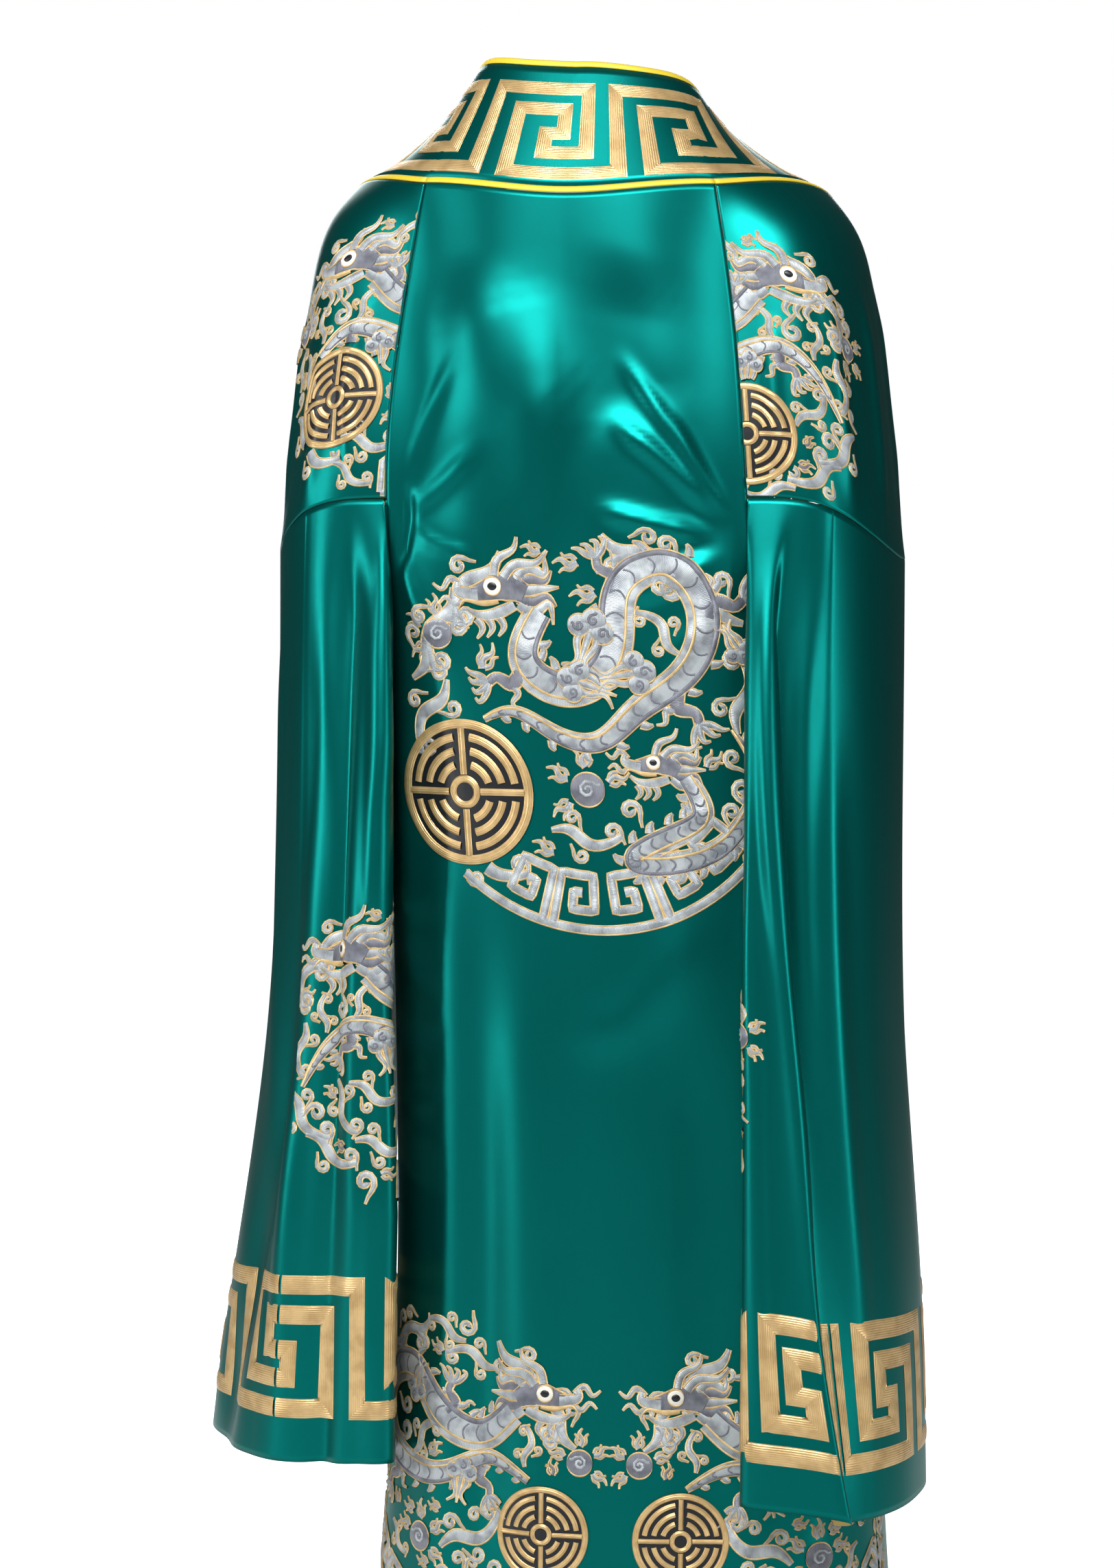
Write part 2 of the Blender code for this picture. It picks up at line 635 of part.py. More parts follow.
def main():
    """Build every piece of the robe."""
    clear_scene()
    collection = bpy.data.collections.new("kimono")
    bpy.context.scene.collection.children.link(collection)
    make_back(collection)
    for hand, side in (("left", 1.0), ("right", -1.0)):
        make_front(hand, side, collection)
        make_upper_sleeve(hand, side, collection)
        make_lower_sleeve(hand, side, collection)
    make_collar(collection)


main()
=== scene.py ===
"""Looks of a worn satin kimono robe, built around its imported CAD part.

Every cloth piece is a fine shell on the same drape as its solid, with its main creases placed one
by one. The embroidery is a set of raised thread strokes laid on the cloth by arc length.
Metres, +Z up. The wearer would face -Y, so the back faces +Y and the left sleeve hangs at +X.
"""
import logging
import math
from dataclasses import dataclass, field, replace
from enum import Enum
from typing import Iterable, Sequence

import bmesh
import bpy
import numpy as np
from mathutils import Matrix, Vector

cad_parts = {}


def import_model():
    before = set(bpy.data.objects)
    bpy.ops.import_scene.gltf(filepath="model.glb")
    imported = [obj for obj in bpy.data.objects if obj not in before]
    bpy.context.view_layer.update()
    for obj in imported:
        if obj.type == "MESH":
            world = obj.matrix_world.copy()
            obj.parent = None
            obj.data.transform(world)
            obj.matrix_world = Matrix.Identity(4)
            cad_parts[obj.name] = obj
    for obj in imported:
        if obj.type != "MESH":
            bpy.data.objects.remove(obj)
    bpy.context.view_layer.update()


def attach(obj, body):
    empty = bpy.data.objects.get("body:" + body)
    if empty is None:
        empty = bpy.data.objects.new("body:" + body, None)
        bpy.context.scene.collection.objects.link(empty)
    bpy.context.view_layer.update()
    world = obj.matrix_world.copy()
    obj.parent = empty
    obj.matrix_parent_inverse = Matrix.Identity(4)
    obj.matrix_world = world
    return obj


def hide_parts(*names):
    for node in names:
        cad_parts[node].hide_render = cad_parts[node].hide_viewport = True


logging.basicConfig(level=logging.INFO, format="%(levelname)s %(message)s")
LOG = logging.getLogger("kimono")

# Thicknesses, seams and heights, as in the solids
WALL = 0.0012
BAND_WALL = 0.0020
PIPING_WALL = 0.0026
SEAM = 0.0003
FORK_CLEARANCE = 0.0022
FORK_SOFTNESS = 0.0008
ARMPIT = -0.289
HEM = -1.490
FRONT_TIP = -0.200
NECK_BACK = -0.0115
NECK_SEAM = -0.0010
PIPING_WIDTH = 0.0055
LINING_SET_UP = 0.004
LINING_GAP = 0.0009
FRONT_GAP = 0.008
SWAY, SWAY_FROM, SWAY_OVER = -0.048, -0.20, 0.90
TILT, TILT_FADE = 0.025, 0.25
MID_BACK_SHARE, MID_BACK_DROP = 0.52, 0.20
TIP_SHARE, TIP_GAP, BAND_GAP = 0.30, 0.025, 0.02
SPLIT_MOVE, SPLIT_OVER = 0.55, 0.50
BLEND_BELOW = 0.10
SOFTNESS = 0.004
SLEEVE_KNOTS = 10
ROUNDING = 0.36
NEAR_EDGE_SHARE, NEAR_EDGE_OUT = 0.45, 0.004
INNER_WALL_SHARES = (0.36, 0.70)
RING_POINTS, SECTION_POINTS = 96, 401
ARC_PROBE, STATION_PROBE = 0.001, 0.01
FRONT_SEAM_STATION = 7.0
FRONT_CLOSED, HEM_STATION = 7.86, 14.0
RIGHT_NECK_DROP = 0.015

# Body sections: height, back, seam x y, side x y, band edge x y, front
BODY_ROWS = (
    (0.020, 0.114, 0.132, 0.092, 0.200, 0.010, 0.200, -0.080, -0.110),
    (-0.150, 0.126, 0.158, 0.111, 0.196, 0.005, 0.183, -0.092, -0.128),
    (ARMPIT, 0.131, 0.168, 0.120, 0.190, 0.000, 0.158, -0.104, -0.136),
    (-0.380, 0.133, 0.170, 0.106, 0.190, 0.000, 0.152, -0.108, -0.140),
    (-0.520, 0.136, 0.174, 0.094, 0.198, 0.000, 0.150, -0.112, -0.144),
    (-0.900, 0.148, 0.190, 0.096, 0.219, 0.000, 0.151, -0.121, -0.156),
    (-1.180, 0.160, 0.202, 0.102, 0.231, 0.000, 0.154, -0.134, -0.170),
    (-1.300, 0.167, 0.209, 0.106, 0.239, 0.000, 0.157, -0.141, -0.178),
    (HEM, 0.180, 0.222, 0.112, 0.256, 0.000, 0.160, -0.152, -0.190),
)
# Upper sleeve: fall, then x y z of its back-outer, outermost and front-outer lines
SHOULDER_ROWS = (
    (0.00, 0.188, 0.052, 0.006, 0.228, -0.010, -0.004, 0.218, -0.068, -0.072),
    (0.15, 0.212, 0.075, -0.030, 0.252, -0.008, -0.038, 0.234, -0.074, -0.100),
    (0.35, 0.228, 0.090, -0.088, 0.2675, -0.003, -0.100, 0.245, -0.082, -0.142),
    (0.65, 0.240, 0.100, -0.190, 0.281, 0.000, -0.215, 0.254, -0.090, -0.222),
    (1.00, 0.250, 0.106, -0.302, 0.297, 0.004, -0.345, 0.263, -0.098, -0.312),
)
# Lower sleeves: drop, then plan x y of edge, fold, under, back, out, front and inner
SLEEVE_ROWS = {
    "left": (
        (0.22, 0.161, 0.138, 0.192, 0.140, 0.222, 0.134, 0.252, 0.119,
         0.299, 0.016, 0.270, -0.095, 0.214, -0.112),
        (0.56, 0.160, 0.150, 0.195, 0.152, 0.230, 0.145, 0.264, 0.126,
         0.318, 0.018, 0.288, -0.100, 0.218, -0.118),
        (0.82, 0.160, 0.155, 0.202, 0.158, 0.244, 0.150, 0.284, 0.130,
         0.354, 0.018, 0.316, -0.108, 0.230, -0.124),
        (1.00, 0.160, 0.158, 0.206, 0.161, 0.252, 0.154, 0.298, 0.135,
         0.377, 0.018, 0.334, -0.112, 0.240, -0.128),
    ),
    "right": (
        (0.22, 0.176, 0.146, 0.196, 0.149, 0.188, 0.134, 0.254, 0.122,
         0.301, 0.016, 0.272, -0.084, 0.226, -0.098),
        (0.56, 0.175, 0.168, 0.226, 0.171, 0.206, 0.151, 0.268, 0.134,
         0.308, 0.018, 0.288, -0.082, 0.252, -0.096),
        (0.82, 0.174, 0.184, 0.253, 0.186, 0.227, 0.164, 0.288, 0.132,
         0.324, 0.020, 0.306, -0.080, 0.274, -0.092),
        (1.00, 0.173, 0.196, 0.285, 0.193, 0.254, 0.171, 0.300, 0.132,
         0.328, 0.022, 0.312, -0.080, 0.282, -0.092),
    ),
}
CUFF_HEIGHT = {"left": (-1.180, -1.185), "right": (-1.194, -1.214)}
SLEEVE_CLEARANCE = {"left": 0.003, "right": 0.005}
UPPER_KNOTS = ((0.0, 0.0), (1.0, 0.2), (2.0, 0.4), (3.0, 0.6), (4.0, 1.0), (7.0, 4.0))
# Soft folds: station at the top and at the cuff, half width, depth, start and full drop
FOLD_ROWS = {
    "left": ((2.10, 2.40, 0.013, 0.009, 0.00, 0.12), (2.90, 4.60, 0.022, 0.010, 0.02, 0.35),
             (5.60, 5.70, 0.030, 0.015, 0.15, 0.80), (6.60, 6.60, 0.026, 0.012, 0.20, 0.90)),
    "right": ((5.30, 5.40, 0.026, 0.007, 0.05, 0.70),),
}
# The collar's inner edge: station, x, y, z
NECK_ROWS = (
    (0.0, 0.000, 0.060, 0.113), (1.0, 0.048, 0.055, 0.116), (2.0, 0.086, 0.036, 0.119),
    (3.0, 0.104, 0.003, 0.106), (4.0, 0.106, -0.040, 0.062), (5.0, 0.092, -0.082, -0.012),
    (6.0, 0.062, -0.116, -0.120), (6.55, 0.041, -0.130, -0.212),
    (7.24, 0.016, -0.139, -0.360), (FRONT_CLOSED, FRONT_GAP, -0.1435, -0.500),
)
BAND_BULGE = ((0.0, 0.000), (2.0, -0.002), (3.0, -0.006), (4.0, -0.002), (6.0, 0.006),
              (FRONT_CLOSED, 0.006), (HEM_STATION, 0.006))

SIDES = {"left": 1.0, "right": -1.0}


class Finish(Enum):
    """Every finish of the robe, by material name."""

    SATIN = "green_satin"
    LINING = "pale_lining"
    PIPING = "yellow_piping"
    GOLD = "gold_thread"
    GOLD_BAND = "gold_couching"
    SILVER = "silver_thread"
    GREY = "grey_thread"
    BLACK = "black_satin"
    PALE = "pale_thread"


def smooth(share: np.ndarray) -> np.ndarray:
    """Ease from 0 to 1."""
    share = np.clip(share, 0.0, 1.0)
    return share * share * (3.0 - 2.0 * share)


def spline_weights(knots: Sequence[float], at: np.ndarray) -> np.ndarray:
    """Weights of a natural cubic spline's knots at the given places."""
    knots = np.asarray(knots, float)
    at = np.atleast_1d(np.asarray(at, float))
    count = len(knots)
    values, step = np.eye(count), np.diff(knots)
    system, rest = np.eye(count), np.zeros((count, count))
    for i in range(1, count - 1):
        system[i, i - 1:i + 2] = step[i - 1], 2.0 * (step[i - 1] + step[i]), step[i]
        rest[i] = 6.0 * ((values[i + 1] - values[i]) / step[i]
                         - (values[i] - values[i - 1]) / step[i - 1])
    bend = np.linalg.solve(system, rest)
    j = np.clip(np.searchsorted(knots, at, side="right") - 1, 0, count - 2)
    width = step[j][:, None]
    low = (knots[j + 1] - at)[:, None] / width
    high = (at - knots[j])[:, None] / width
    curved = (low ** 3 - low) * bend[j] + (high ** 3 - high) * bend[j + 1]
    return low * values[j] + high * values[j + 1] + curved * width ** 2 / 6.0


def refined(points: np.ndarray, rows: int, columns: int) -> np.ndarray:
    """Resample a grid of points with cubic splines both ways."""
    down = spline_weights(np.arange(points.shape[0]), np.linspace(0, points.shape[0] - 1, rows))
    across = spline_weights(np.arange(points.shape[1]),
                            np.linspace(0, points.shape[1] - 1, columns))
    return np.einsum("ri,ijk,cj->rck", down, points, across, optimize=True)


class Drape:
    """The robe's surfaces: body, upper sleeves, lower sleeves and collar."""

    def __init__(self) -> None:
        rows = []
        for _, back, seam_x, seam_y, side_x, side_y, band_x, band_y, front in BODY_ROWS:
            mid = (seam_x * MID_BACK_SHARE, back - MID_BACK_DROP * (back - seam_y))
            half = np.array([(0.0, back), mid, (seam_x, seam_y), (side_x, side_y),
                             (band_x, band_y), (0.0, front)])
            flip = np.array([-1.0, 1.0])
            rows.append(np.vstack([half[2:0:-1] * flip, half, half[4:2:-1] * flip]))
        heights = np.array([row[0] for row in BODY_ROWS])
        order = np.argsort(heights)
        self.heights = heights[order]
        self.controls = np.array(rows)[order]

    @staticmethod
    def sway(height: np.ndarray) -> np.ndarray:
        """Sideways shift of the body's centre line at a height."""
        return SWAY * smooth((SWAY_FROM - np.asarray(height, float)) / SWAY_OVER)

    @staticmethod
    def tilted(points: np.ndarray) -> np.ndarray:
        """Raise the left shoulder and lower the right one, fading out below."""
        points = np.array(points, float)
        fade = np.clip(1.0 + np.minimum(points[..., 2], 0.0) / TILT_FADE, 0.0, 1.0)
        points[..., 2] += TILT * points[..., 0] * fade
        return points

    @staticmethod
    def neck_height(station: np.ndarray) -> np.ndarray:
        """Height of the collar's lower edge across the back."""
        return NECK_BACK + (NECK_SEAM - NECK_BACK) * smooth(np.asarray(station) / 2.0)

    @staticmethod
    def split_station(height: np.ndarray) -> np.ndarray:
        """Station of the side seam, which moves from the armpit round to the side."""
        return 2.0 + SPLIT_MOVE * smooth((ARMPIT - height) / SPLIT_OVER)

    def body(self, station: np.ndarray, height: np.ndarray, side: float) -> np.ndarray:
        """Points of the body: station 0 centre back, 2 seam, 4 band edge, 5 front."""
        station = np.atleast_1d(np.asarray(station, float))
        height = np.broadcast_to(np.asarray(height, float), station.shape)
        across = spline_weights(np.arange(-2.0, 8.0), station)
        down = spline_weights(self.heights, height)
        controls = np.einsum("nj,jic->nic", down, self.controls)
        table = np.array(SHOULDER_ROWS)
        fall = np.clip(height / ARMPIT, 0.0, 1.0)
        outer = spline_weights(table[:, 0], fall) @ table[:, 1:3]
        shoulders = smooth((height - ARMPIT) / BLEND_BELOW + 1.0) * (station <= 2.0)
        controls[:, 5] += shoulders[:, None] * (outer - controls[:, 5])
        plan = np.einsum("ni,nic->nc", across, controls)
        return np.column_stack([side * plan[:, 0] + self.sway(height), plan[:, 1], height])

    def shoulder(self, station: np.ndarray, fall: np.ndarray, side: float) -> np.ndarray:
        """Points of the upper sleeve: station 0 back seam, 2 outermost, 4 front seam."""
        fall = np.broadcast_to(np.asarray(fall, float), np.shape(station))
        table = np.array(SHOULDER_ROWS)
        lines = (spline_weights(table[:, 0], fall) @ table[:, 1:]).reshape(-1, 3, 3)
        lines[:, :, 0] *= side
        seam = self.neck_height(2.0) + (ARMPIT - self.neck_height(2.0)) * fall
        front_seam = FRONT_TIP + (ARMPIT - FRONT_TIP) * fall
        controls = np.stack([
            self.body(np.full(fall.shape, 1.0), seam, side),
            self.body(np.full(fall.shape, 2.0), seam, side),
            lines[:, 0], lines[:, 1], lines[:, 2],
            self.body(4.0 - TIP_SHARE * fall, front_seam, side),
            self.body(np.full(fall.shape, 5.0), front_seam, side)], axis=1)
        return np.einsum("ni,nic->nc", spline_weights(np.arange(-1.0, 6.0), station), controls)

    def clear_of_body(self, points: np.ndarray, side: float, margin: float,
                      softness: float = SOFTNESS) -> np.ndarray:
        """Push points out from the body's axis until they clear its surface."""
        moved = np.array(points, float)
        stations = np.linspace(0.0, 5.0, RING_POINTS)
        for point in moved:
            shift = float(self.sway(point[2]))
            ring = self.body(stations, np.full(stations.shape, point[2]), side)
            along = ring[:, 0] - shift
            angles = np.arctan2(np.maximum(side * along, 0.0), ring[:, 1])
            across = point[0] - shift
            radius = np.hypot(across, point[1])
            angle = np.arctan2(side * across, point[1])
            least = np.interp(angle, angles, np.hypot(along, ring[:, 1])) + margin
            wanted = least + softness * np.logaddexp(0.0, (radius - least) / softness)
            point[0] += across * (wanted / radius - 1.0)
            point[1] *= wanted / radius
        return moved

    def elbow_ring(self, station: np.ndarray, side: float) -> np.ndarray:
        """The lower sleeve's top edge: the elbow seam outside, the armpit line inside."""
        upper = np.interp(np.minimum(station, FRONT_SEAM_STATION), *np.array(UPPER_KNOTS).T)
        outer = self.shoulder(upper, 1.0, side)
        share = np.clip((station - FRONT_SEAM_STATION) / (SLEEVE_KNOTS - FRONT_SEAM_STATION),
                        0.0, 1.0)
        armpit_front = 4.0 - TIP_SHARE
        inner = self.body(armpit_front + (2.0 - armpit_front) * share, ARMPIT, side)
        return np.where((station <= FRONT_SEAM_STATION)[:, None], outer, inner)

    def sleeve_plain(self, station: np.ndarray, drop: float, hand: str) -> np.ndarray:
        """One section of the lower sleeve before its folds."""
        side = SIDES[hand]
        mirror = np.array([side, 1.0])
        station = np.mod(np.asarray(station, float), SLEEVE_KNOTS)
        sections = [self.elbow_ring(np.arange(float(SLEEVE_KNOTS)), side)[:, :2] * mirror]
        for row in SLEEVE_ROWS[hand]:
            edge, fold, under, back, out, front, inner = np.reshape(row[1:], (-1, 2))
            near = edge + NEAR_EDGE_SHARE * (fold - edge) + np.array([0.0, NEAR_EDGE_OUT])
            wall = [inner + share * (edge - inner) for share in INNER_WALL_SHARES]
            sections.append(np.array([edge, near, fold, under, back, out, front, inner, *wall]))
        controls = np.array(sections)
        wrapped = np.concatenate([controls[:, -3:], controls, controls[:, :4]], axis=1)
        knots = np.arange(-3.0, SLEEVE_KNOTS + 4.0)
        across = (spline_weights(knots, station - ROUNDING) + spline_weights(knots, station)
                  + spline_weights(knots, station + ROUNDING)) / 3.0
        down = spline_weights([0.0] + [row[0] for row in SLEEVE_ROWS[hand]], drop)[0]
        plan = across @ np.einsum("j,jic->ic", down, wrapped)
        top = self.elbow_ring(station, side)
        plan += (1.0 - drop) ** 3 * (top[:, :2] * mirror - across @ wrapped[0])
        near, far = CUFF_HEIGHT[hand]
        outside = np.clip(station / FRONT_SEAM_STATION, 0.0, 1.0)
        cuff = near + (far - near) * np.sin(np.pi * outside) ** 2
        height = top[:, 2] + (cuff - top[:, 2]) * drop
        return np.column_stack([side * plan[:, 0], plan[:, 1], height])

    def sleeve(self, station: np.ndarray, drop: float, hand: str) -> np.ndarray:
        """One section of the lower sleeve with its soft folds, clear of the body."""
        side = SIDES[hand]
        fine = np.linspace(0.0, SLEEVE_KNOTS, SECTION_POINTS)
        ring = self.sleeve_plain(fine, drop, hand)[:, :2]
        arc = np.concatenate([[0.0], np.cumsum(np.hypot(*np.diff(ring, axis=0).T))])
        here = np.interp(station, fine, arc)
        inward = np.zeros(np.shape(station))
        for top, cuff, half_width, depth, start, full in FOLD_ROWS[hand]:
            centre = np.interp(top + (cuff - top) * drop, fine, arc)
            grown = smooth((drop - start) / (full - start))
            inward += grown * depth * np.exp(-((here - centre) / half_width) ** 2)
        plain = self.sleeve_plain(station, drop, hand)
        ahead = np.column_stack([np.interp(here + ARC_PROBE, arc, ring[:, k])
                                 - np.interp(here - ARC_PROBE, arc, ring[:, k])
                                 for k in (0, 1)])
        tangent = ahead / np.hypot(*ahead.T)[:, None]
        outward = np.column_stack([-tangent[:, 1], tangent[:, 0]]) * side
        plain[:, :2] -= outward * inward[:, None]
        return self.clear_of_body(plain, side, SLEEVE_CLEARANCE[hand])

    def front_height(self, station: np.ndarray) -> np.ndarray:
        """Height of the band's outer edge down the front, by station."""
        return FRONT_TIP + (HEM - FRONT_TIP) * (np.maximum(station, 6.0) - 6.0) / (
            HEM_STATION - 6.0)

    def outer_edge(self, station: np.ndarray, side: float) -> np.ndarray:
        """The collar's outer edge: across the back, over the shoulder, down the front."""
        station = np.asarray(station, float)
        near = np.minimum(station, 2.0)
        back = self.body(near, self.neck_height(near), side)
        over = self.shoulder(np.clip(station - 2.0, 0.0, 4.0), 0.0, side)
        front = self.body(np.full(station.shape, 4.0), self.front_height(station), side)
        chosen = np.where((station <= 2.0)[:, None], back, over)
        return self.tilted(np.where((station > 6.0)[:, None], front, chosen))

    def inner_edge(self, station: np.ndarray, side: float) -> np.ndarray:
        """The collar's inner edge, at the neck and down the front opening."""
        station = np.asarray(station, float)
        table = np.array(NECK_ROWS)
        neck = spline_weights(table[:, 0], np.clip(station, 0.0, FRONT_CLOSED)) @ table[:, 1:]
        if side < 0.0:
            lowered = smooth(station / 2.4) * (1.0 - smooth((station - 4.0) / 2.0))
            neck[:, 2] -= RIGHT_NECK_DROP * lowered
        neck[:, 0] = side * neck[:, 0] + self.sway(neck[:, 2])
        front = self.body(np.full(station.shape, 5.0), self.front_height(station), side)
        front[:, 0] += side * FRONT_GAP
        return self.tilted(np.where((station > FRONT_CLOSED)[:, None], front, neck))

    def collar(self, station: np.ndarray, across: np.ndarray, side: float) -> np.ndarray:
        """Points of the collar from its outer edge (across 0) to its inner edge (1)."""
        low, high = self.outer_edge(station, side), self.inner_edge(station, side)
        ahead = (self.outer_edge(station + STATION_PROBE, side)
                 - self.outer_edge(station - STATION_PROBE, side))
        facing = np.cross(ahead, high - low) * side
        facing /= np.linalg.norm(facing, axis=1)[:, None]
        rise = np.interp(station, *np.array(BAND_BULGE).T) * np.sin(np.pi * across)
        return low + (high - low) * across[:, None] - facing * rise[:, None]


# How finely a crease's path is followed, and how it fades at its ends and at the cloth's edges
CREASE_POINTS = 13
CREASE_FADE = 0.32
EDGE_ROWS, EDGE_COLUMNS = 6.0, 4.0
TINY = 1e-9


@dataclass(frozen=True)
class Crease:
    """A fold: its path is in (column share 0 to 1, height) of the cloth.

    Attributes:
        path: points along the fold.
        width: half width in metres.
        depth: height of its crest in metres, below zero for a valley.
        lean: how much steeper one flank is than the other.
    """

    path: tuple[tuple[float, float], ...]
    width: float
    depth: float
    lean: float = 0.0


def columns_near(points: np.ndarray, height: float) -> np.ndarray:
    """Arc length of every column at the row nearest a height."""
    row = int(np.argmin(np.abs(points[:, :, 2].mean(axis=1) - height)))
    return row_lengths(points[row:row + 1])[0]


def row_lengths(points: np.ndarray) -> np.ndarray:
    """Cumulative length along every row of a grid."""
    steps = np.linalg.norm(np.diff(points, axis=1), axis=2)
    return np.concatenate([np.zeros((len(points), 1)), np.cumsum(steps, axis=1)], axis=1)


def grid_normals(points: np.ndarray, closed: bool) -> np.ndarray:
    """Unit normals of a grid of points."""
    down = np.gradient(points, axis=0)
    if closed:
        ring = points[:, :-1]
        across = np.roll(ring, -1, axis=1) - np.roll(ring, 1, axis=1)
        across = np.concatenate([across, across[:, :1]], axis=1)
    else:
        across = np.gradient(points, axis=1)
    normal = np.cross(across, down)
    return normal / np.maximum(np.linalg.norm(normal, axis=2), TINY)[..., None]


def creased(points: np.ndarray, creases: Iterable[Crease], outward: float,
            closed: bool = False) -> np.ndarray:
    """Raise and sink a grid along its creases.

    Args:
        points: the grid, rows downwards.
        creases: the folds to lay on it.
        outward: 1 or -1, the sense in which the grid's normals face out.
        closed: whether the grid's last column is its first one again.

    Returns:
        The grid with its folds.
    """
    across = row_lengths(points)
    down = points[:, :, 2]
    rise = np.zeros(down.shape)
    for crease in creases:
        knots = np.arange(len(crease.path), dtype=float)
        along = spline_weights(knots, np.linspace(0.0, knots[-1], CREASE_POINTS)) @ np.array(
            crease.path)
        line = np.array([(np.interp(share * (points.shape[1] - 1), np.arange(points.shape[1]),
                                    columns_near(points, height)), height)
                         for share, height in along])
        nearest = np.full(down.shape, 1e9)
        signed = np.zeros(down.shape)
        place = np.zeros(down.shape)
        for index, (start, end) in enumerate(zip(line[:-1], line[1:])):
            run = end - start
            length = float(np.hypot(*run))
            ds, dt = across - start[0], down - start[1]
            share = np.clip((ds * run[0] + dt * run[1]) / length ** 2, 0.0, 1.0)
            away = np.hypot(ds - share * run[0], dt - share * run[1])
            closer = away < nearest
            nearest = np.where(closer, away, nearest)
            signed = np.where(closer, np.sign(ds * run[1] - dt * run[0]) * away, signed)
            place = np.where(closer, (index + share) / (len(line) - 1), place)
        fade = smooth(np.minimum(place, 1.0 - place) / CREASE_FADE)
        scaled = signed / crease.width
        crest = np.exp(-scaled ** 2) * (1.0 + crease.lean * scaled)
        rise += crease.depth * fade * crest
    edge = np.minimum(np.arange(points.shape[0]) / EDGE_ROWS, 1.0)[:, None]
    if not closed:
        sides = np.arange(points.shape[1])
        edge = edge * np.minimum(np.minimum(sides, sides[::-1]) / EDGE_COLUMNS, 1.0)[None, :]
    return points + grid_normals(points, closed) * (outward * rise * edge)[..., None]


BACK_CREASES = (
    # Pulls that run to the right armpit
    Crease(((0.40, -0.215), (0.22, -0.262), (0.05, -0.318)), 0.010, 0.0058, 0.7),
    Crease(((0.36, -0.150), (0.20, -0.225), (0.06, -0.300)), 0.008, 0.0042, -0.6),
    Crease(((0.44, -0.300), (0.27, -0.315), (0.08, -0.328)), 0.009, 0.0054, 0.6),
    Crease(((0.38, -0.385), (0.24, -0.360), (0.06, -0.338)), 0.011, 0.0056, -0.8),
    Crease(((0.22, -0.205), (0.12, -0.265), (0.04, -0.310)), 0.006, 0.0040, 0.5),
    Crease(((0.30, -0.455), (0.16, -0.405), (0.05, -0.350)), 0.012, 0.0030, 0.7),
    # The tuck at the left armpit and what leads to it
    Crease(((0.955, -0.270), (0.945, -0.315), (0.965, -0.365)), 0.005, -0.0050, 0.0),
    Crease(((0.70, -0.235), (0.85, -0.275), (0.96, -0.300)), 0.009, 0.0030, 0.6),
    Crease(((0.72, -0.345), (0.84, -0.335), (0.95, -0.318)), 0.008, 0.0028, -0.6),
    Crease(((0.80, -0.150), (0.90, -0.215), (0.96, -0.275)), 0.009, 0.0026, 0.6),
    Crease(((0.78, -0.440), (0.88, -0.390), (0.96, -0.335)), 0.010, 0.0026, 0.6),
    # Broad, shallow swells of the satin between the shoulders
    Crease(((0.86, -0.060), (0.70, -0.180), (0.46, -0.260)), 0.050, 0.0070, 0.5),
    Crease(((0.30, -0.060), (0.36, -0.160), (0.30, -0.240)), 0.040, -0.0060, 0.3),
    Crease(((0.58, -0.080), (0.52, -0.220), (0.60, -0.330)), 0.030, 0.0052, -0.5),
    # Long soft folds that fall to the hem
    Crease(((0.16, -0.620), (0.20, -0.950), (0.16, -1.300), (0.17, -1.485)), 0.030, 0.0060, 0.5),
    Crease(((0.38, -0.700), (0.34, -1.000), (0.37, -1.490)), 0.040, -0.0055, 0.4),
    Crease(((0.60, -0.660), (0.63, -0.980), (0.58, -1.490)), 0.036, 0.0056, -0.5),
    Crease(((0.82, -0.560), (0.80, -0.900), (0.84, -1.490)), 0.028, 0.0062, 0.6),
    Crease(((0.72, -0.720), (0.73, -1.050), (0.71, -1.300)), 0.022, -0.0040, 0.3),
    Crease(((0.97, -0.400), (0.92, -0.640), (0.88, -0.760)), 0.014, 0.0040, 0.6),
    Crease(((0.26, -0.640), (0.40, -0.740), (0.58, -0.790)), 0.026, 0.0034, 0.5),
)
